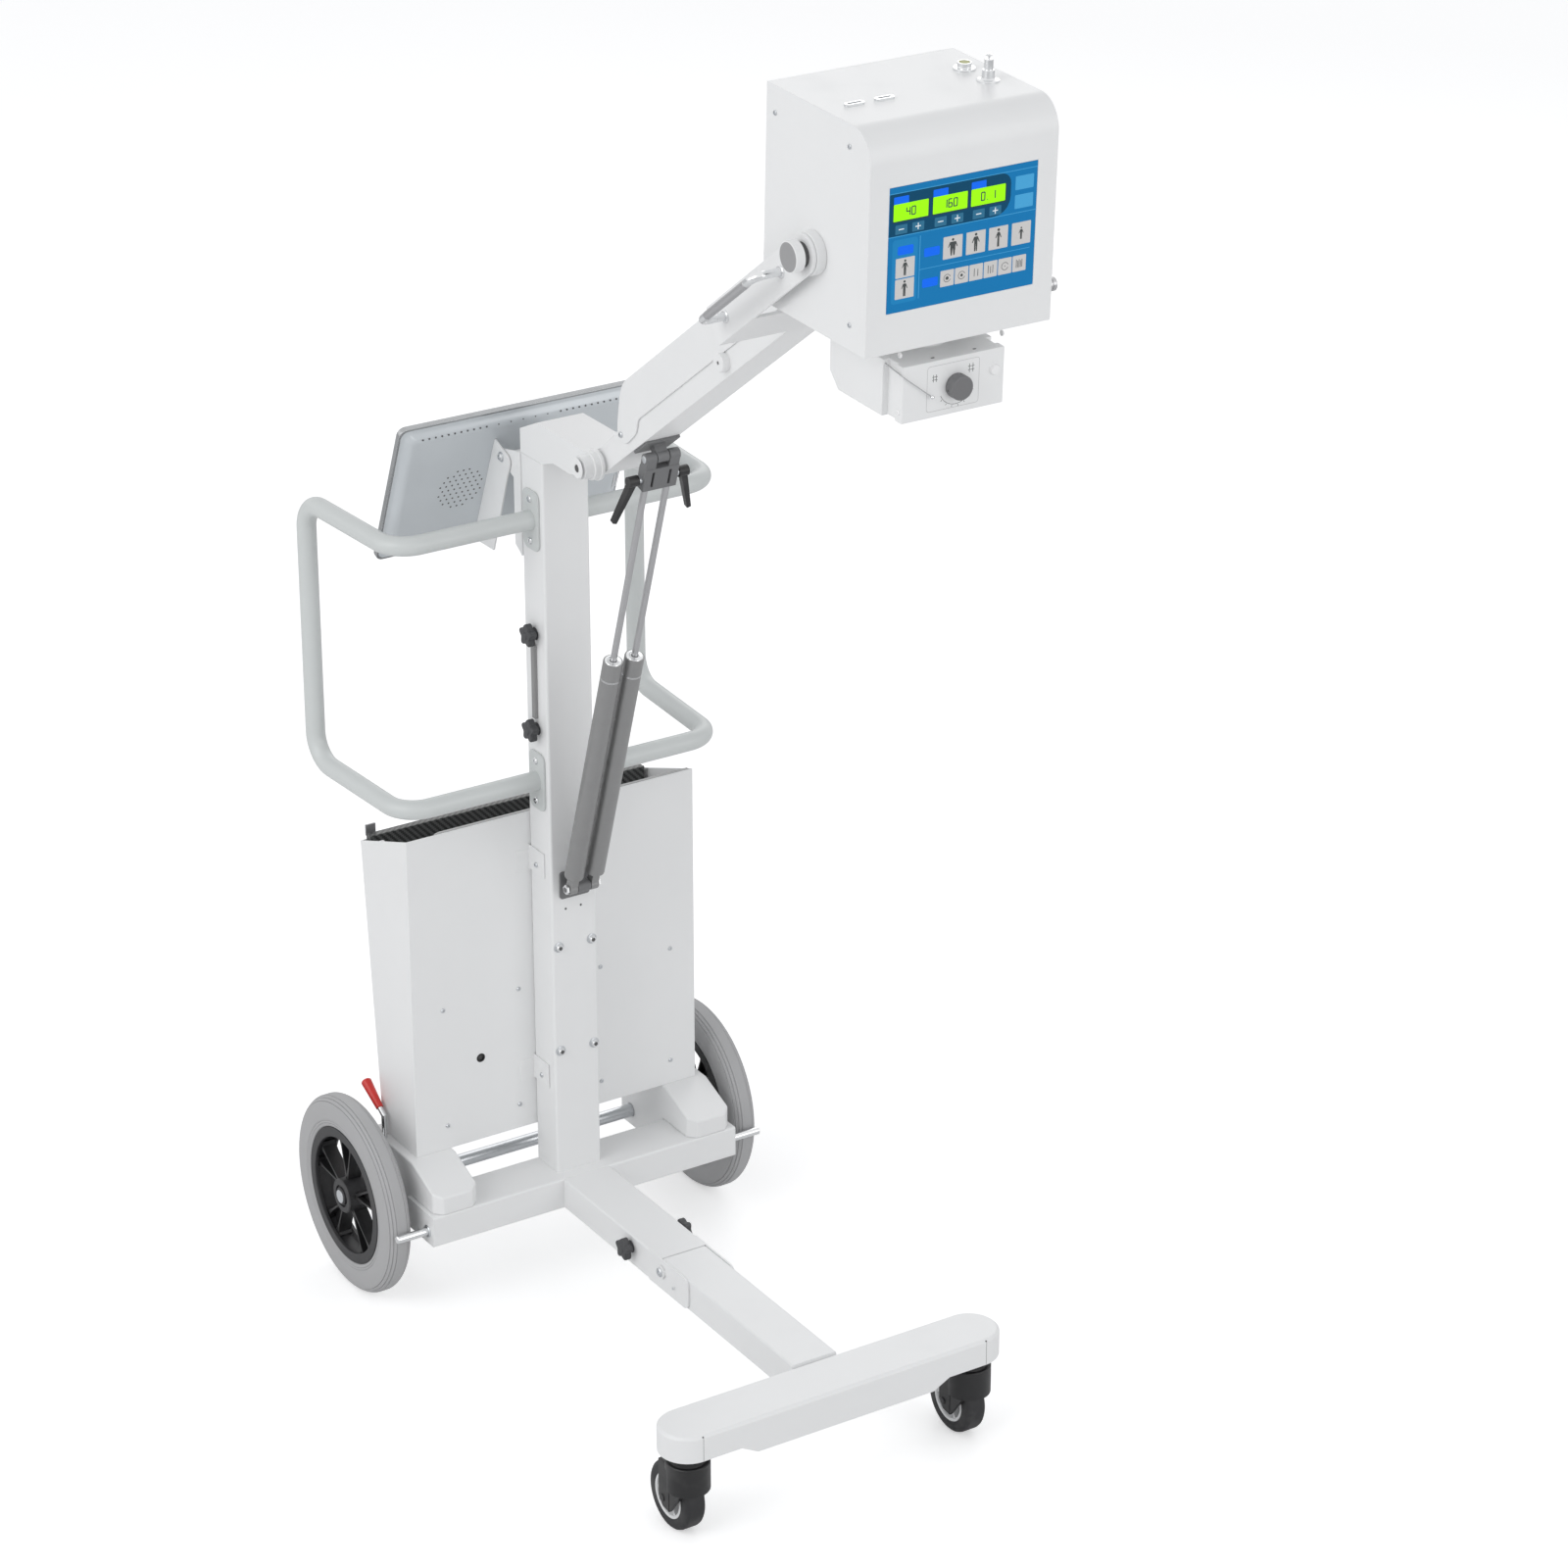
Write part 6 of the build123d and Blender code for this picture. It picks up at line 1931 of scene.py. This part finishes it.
    def _person(self, x: float, y: float, tall: float, girth: float) -> None:
        """Adds a plain standing figure: a round head, a body, two arms and two legs.

        Args:
            x: the place of its middle, as a share of the screen.
            y: the same from the top.
            tall: its height, as a share of the screen's.
            girth: how stout it is.
        """
        cx, cy = self._at(x, y)
        size = tall * self.screen_size[1]
        half = size * 0.09 * (0.6 + 0.6 * girth)
        self._draw(arc((cx, cy + size * 0.42), size * 0.075, 0, 345, 12))
        waist, shoulder = cy - size * 0.08, cy + size * 0.3
        torso = [(cx - half * 0.8, waist), (cx + half * 0.8, waist), (cx + half, shoulder),
                 (cx - half, shoulder)]
        self._draw(rounded(torso, size * 0.03, 3))
        for way in (-1, 1):
            foot, hand = cx + way * half * 0.45, cx + way * half
            sole, hip = cy - size * 0.48, cy - size * 0.06
            self._draw([(foot - size * 0.035, sole), (foot + size * 0.035, sole), (foot + half * 0.42, hip),
                        (foot - half * 0.42, hip)])
            arm = [(hand, shoulder), (hand + way * size * 0.12, cy),
                   (hand + way * size * 0.08, cy - size * 0.01), (hand - way * size * 0.02, cy + size * 0.18)]
            self._draw(arm[::way])

    def _mark(self, x: float, y: float, kind: int) -> None:
        """Adds a plain line mark: rings on some tiles, bars on the others.

        Args:
            x: the place of its middle, as a share of the screen.
            y: the same from the top.
            kind: the tile's number.
        """
        cx, cy = self._at(x, y)
        if kind in (0, 1, 4):
            self._draw(arc((cx, cy), 5.0, 20, 340, 20) + arc((cx, cy), 4.4, 340, 20, 20))
            self._draw(arc((cx, cy), 2.2 - 0.4 * kind, 0, 330, 11))
            return
        for k in range(kind):
            at = cx + (k - (kind - 1) / 2) * 10.0 / kind
            self._draw(rectangle(at - 0.4, cy - 5, at + 0.4, cy + 5 - 1.5 * (k % 2)))


@dataclass
class Collimator(SubAssembly):
    """The collimator under the head, with its dial, button, printed scale, screws and wire lever.

    Its lengths are from the head's pivot: ahead and up in the head's own plane, and across the machine.
    """

    body: str = "collimator_unit"
    face: float = 105.0
    top: float = -122.0
    low: float = -194.0
    half_front: float = 73.0
    half_waist: float = 69.0
    dial: Point = (4.0, -158.0)
    button: Point = (58.0, -148.0)
    scale_radius: float = 24.0
    print_depth: float = 0.06

    def build(self) -> None:
        """Builds the collimator's pieces."""
        self.dress("collimator", Finishes.white, 1.2, 3)
        self.dress("collimator_dial", Finishes.knob, 0.9, 3)
        view = LAYOUT.head
        place = view.at(self.face, self.button[1], self.button[0])
        button = Form("Collimator_button").lathe(
            [(0, -0.5), (7.4, -0.5), (7.4, 0.5), (6.9, 0.9), (6.7, 0.9), (6.6, 3.2), (5.8, 4.4), (0, 4.7)],
            place, view.along(), Finishes.button, 40)
        button.done(self.body)
        spots = [(self.face - 7.5, self.top + 14), (self.face - 7.5, self.low + 13)]
        self.side_screws("Collimator_screws", view, spots, self.half_front, 3.6, 1.6, finish=Finishes.button,
                         recess=0.5)
        self._print(view)
        self._wire(view)

    def _printed(self) -> list[Sequence[Point]]:
        """Draws what is printed in dark ink: the arc scale with its strokes, and two plain marks.

        Returns:
            Each mark's outline, across the machine and up from the head's pivot.
        """
        r = self.scale_radius
        drawn = [arc(self.dial, r + 0.28, 205, 340, 26) + arc(self.dial, r - 0.28, 340, 205, 26)]
        centre = Vector(self.dial)
        for k in range(7):
            turn = math.radians(218 + 20 * k)
            out = Vector((math.cos(turn), math.sin(turn)))
            side = Vector((-out.y, out.x)) * 0.3
            foot, tip = centre + out * (r + 1.2), centre + out * (r + 3.4)
            drawn.append([tuple(foot - side), tuple(tip - side), tuple(tip + side), tuple(foot + side)])
        for y, z, size in ((-27, self.dial[1] + 14, 4.6), (25, self.dial[1] + 18, 5.6)):
            for way in (-1, 1):
                bar, rung = y + way * size * 0.45, z + way * size * 0.4
                drawn += [rectangle(bar - 0.35, z - size, bar + 0.35, z + size),
                          rectangle(y - size * 0.8, rung - 0.3, y + size * 0.8, rung + 0.3)]
        return drawn

    def _print(self, view: View) -> None:
        """Adds the printed marks, the frame line, the dial's dots, and on top two thin dark patches that
        paint the shade of its two slot openings.

        Args:
            view: the plane along the head.
        """
        frame = frame_at(view.at(self.face + 0.02, 0) / MM, LEFT, view.along())
        ink = Form("Collimator_print")
        for outline in self._printed():
            ink.block(frame, outline, self.print_depth, Finishes.ink, 0)
        outer = rounded(rectangle(-38, self.low + 8, 37, self.top - 6), 4, 5)
        inner = rounded(rectangle(-37.5, self.low + 8.5, 36.5, self.top - 6.5), 3.6, 5)
        ink.border(frame, outer, inner, 0.05, Finishes.print_and_shade_grey)
        cy, cz = self.dial
        for turn in (80, 190):
            c, s = math.cos(math.radians(turn)), math.sin(math.radians(turn))
            spot = view.at(self.face + 6, cz + 15.6 * s, cy + 15.6 * c)
            ink.lathe(rectangle(0, -0.6, 1.5, 0.1), spot, Vector((0, c, s)), Finishes.seam_and_shade, 14)
        flat = frame_at(view.at(0, self.top + 0.02) / MM, view.along(), view.up())
        # two thin dark patches on top: painted shade of the slot openings
        for y in (-24, 36):
            slot = rounded(rectangle(93, y - 2.6, 96, y + 2.6), 1.2, 3)
            ink.block(flat, slot, self.print_depth, Finishes.seam_and_shade, 0)
        ink.done(self.body)

    def _wire(self, view: View) -> None:
        """Adds the thin wire lever across the corner, with a bright ball at its end.

        Args:
            view: the plane along the head.
        """
        waist, front = -self.half_waist, -self.half_front
        corners = [view.at(36, self.top - 8, waist + 2), view.at(36, self.top - 2, waist - 4),
                   view.at(self.face + 3, self.top - 9, front - 3), view.at(self.face + 5, -165, -33)]
        wire = Form("Collimator_wire").tube(bent_route(corners, 3.0, 5), 0.75, Finishes.satin)
        ball = [(max(x, 0.0), y) for x, y in arc((0, 0), 2.6, -90, 90, 10)]
        wire.lathe(ball, corners[-1], view.along(), Finishes.chrome, 20)
        wire.done(self.body)


@dataclass
class Monitor(SubAssembly):
    """The monitor behind the column: a metal-edged shell with a soft raised back, its ears and its bracket.

    Attributes:
        swell: the raised back's section, as distance in from the edge and place across the monitor.
        vents: each row of vents by its first place, its pitch, how many there are, and their radius.
        highlight_slits: the places, across and along the monitor's depth, of two bright white slits on the
            shoulder that paint the highlights of its rounded edge.
    """

    body: str = "monitor"
    width: float = 384.0
    top: float = 54.0
    low: float = -184.0
    corner: float = 12.0
    edge_front: float = 34.6
    edge_back: float = 43.4
    swell: tuple[Point, ...] = (
        (1.6, 34.9), (7.0, 34.0), (9.4, 32.6), (11.6, 30.4), (14.0, 28.2), (16.8, 26.5), (20.0, 25.4),
        (24.0, 25.0))
    pan: float = 25.0
    speaker: Point = (-82.0, -68.0)
    speaker_reach: float = 37.0
    vents: tuple[tuple[float, float, int, float], ...] = (
        (-158, 10, 11, 1.35), (-39, 19.5, 5, 0.9), (60, 10, 11, 1.35))
    highlight_slits: tuple[Point, ...] = ((181.0, 30.0), (187.5, 32.9))
    ear_face: float = 42.1

    def build(self) -> None:
        """Builds the monitor's pieces."""
        self._case()
        self.dress("monitor_screen", Finishes.glass, 0.3)
        self.dress("monitor_ears", Finishes.white, 0.7)
        self.dress("monitor_bracket", Finishes.white, 0.6, body="stand")
        self._holes()
        self._fasteners()

    def _outline(self, inset: float) -> list[Point]:
        """Gives the case's rounded outline, drawn in by a distance."""
        half = self.width / 2 - inset
        return rounded(rectangle(-half, self.low + inset, half, self.top - inset),
                       max(self.corner - inset * 0.2, 4.0), 8)

    def _case(self) -> None:
        """Adds the metal edge band and the swollen back."""
        view = LAYOUT.monitor
        frame = frame_at(view.at(0, 0) / MM, Side.RIGHT.out, view.along())
        band = Form("Monitor_case")
        place = frame @ Matrix.Translation((0, 0, self.edge_front))
        band.block(place, self._outline(0.0), self.edge_back - self.edge_front, Finishes.rim, 1.3, 3)
        band.stack(frame, [(self._outline(inset), u) for inset, u in self.swell], Finishes.shell)
        band.done(self.body, ["monitor_case"], 40)

    def _holes(self) -> None:
        """Adds the speaker's holes and the rows of vents as dark discs of painted shade, and two bright slits
        that paint the highlights of the shoulder's rounded edge.
        """
        view = LAYOUT.monitor
        y, v = self.speaker
        # the speaker's holes are flat dark discs: painted shade
        field = HoleField().grow(Finishes.seam_and_shade, reach=self.speaker_reach * MM, pitch=9.4 * MM,
                                 radius=1.45 * MM, depth=0.3 * MM, count=15)
        field.transform(frame_at(view.at(self.pan - 0.02, v, y), LEFT, -view.along()))
        Form("Monitor_speaker").take_mesh(field, Finishes.seam_and_shade).done(self.body)
        # the vents are small dark studs: painted shade in their openings
        facing = (view.up() * 0.35 - view.along()).normalized()
        for size in (1.35, 0.9):
            places = [view.at(25.9, 37.5, start + step * k)
                      for start, step, count, radius in self.vents if radius == size for k in range(count)]
            self.screws(f"Monitor_vents_{int(size * 100)}", places, facing, size, 0.5, Finishes.seam_and_shade, 0.5, 10)
        # two bright white slits on the right shoulder: painted highlights of the rounded edge
        highlight_slits = Form("Monitor_slots")
        for y, u in self.highlight_slits:
            frame = frame_at(view.at(u, 0) / MM, LEFT, -view.along())
            slot = rounded(rectangle(y - 0.8, -139, y + 0.8, -113), 0.7, 3)
            highlight_slits.block(frame, slot, 1.4, Finishes.button, 0)
        highlight_slits.done(self.body)

    def _fasteners(self) -> None:
        """Adds the pivots' bolts and washers on the ears."""
        view = LAYOUT.monitor
        plates = Form("Monitor_washers")
        for side in Side:
            plates.lathe([(0, -0.3), (7.4, -0.3), (7.4, 0.9), (6.8, 1.3), (0, 1.3)],
                         view.at(0, 0, side.value * self.ear_face), side.out, Finishes.zinc, 30)
        plates.done(self.body)
        self.side_screws("Monitor_bolts", view, [(0, 0)], self.ear_face + 1.2, 4.9, 3.0, recess=0.5)


def main() -> None:
    """Builds the studio and every sub-assembly."""
    logging.basicConfig(level=logging.INFO, format="%(message)s")
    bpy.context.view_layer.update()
    Studio().build()
    parts = [RearWheel(body=f"rear_wheel_{side.name.lower()}", side=side) for side in Side]
    parts += [Caster(side=side) for side in Side]
    parts += [Chassis(), StarKnobs(), Column(), DetectorBin(), PushHandles(), Arm(), GasSprings(), Head(),
              Collimator(), Monitor()]
    for part in parts:
        part.build()
        LOG.info("%s is built", type(part).__name__)


if __name__ == "__main__":
    for default in list(bpy.data.objects):
        bpy.data.objects.remove(default)
    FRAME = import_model()
    main()
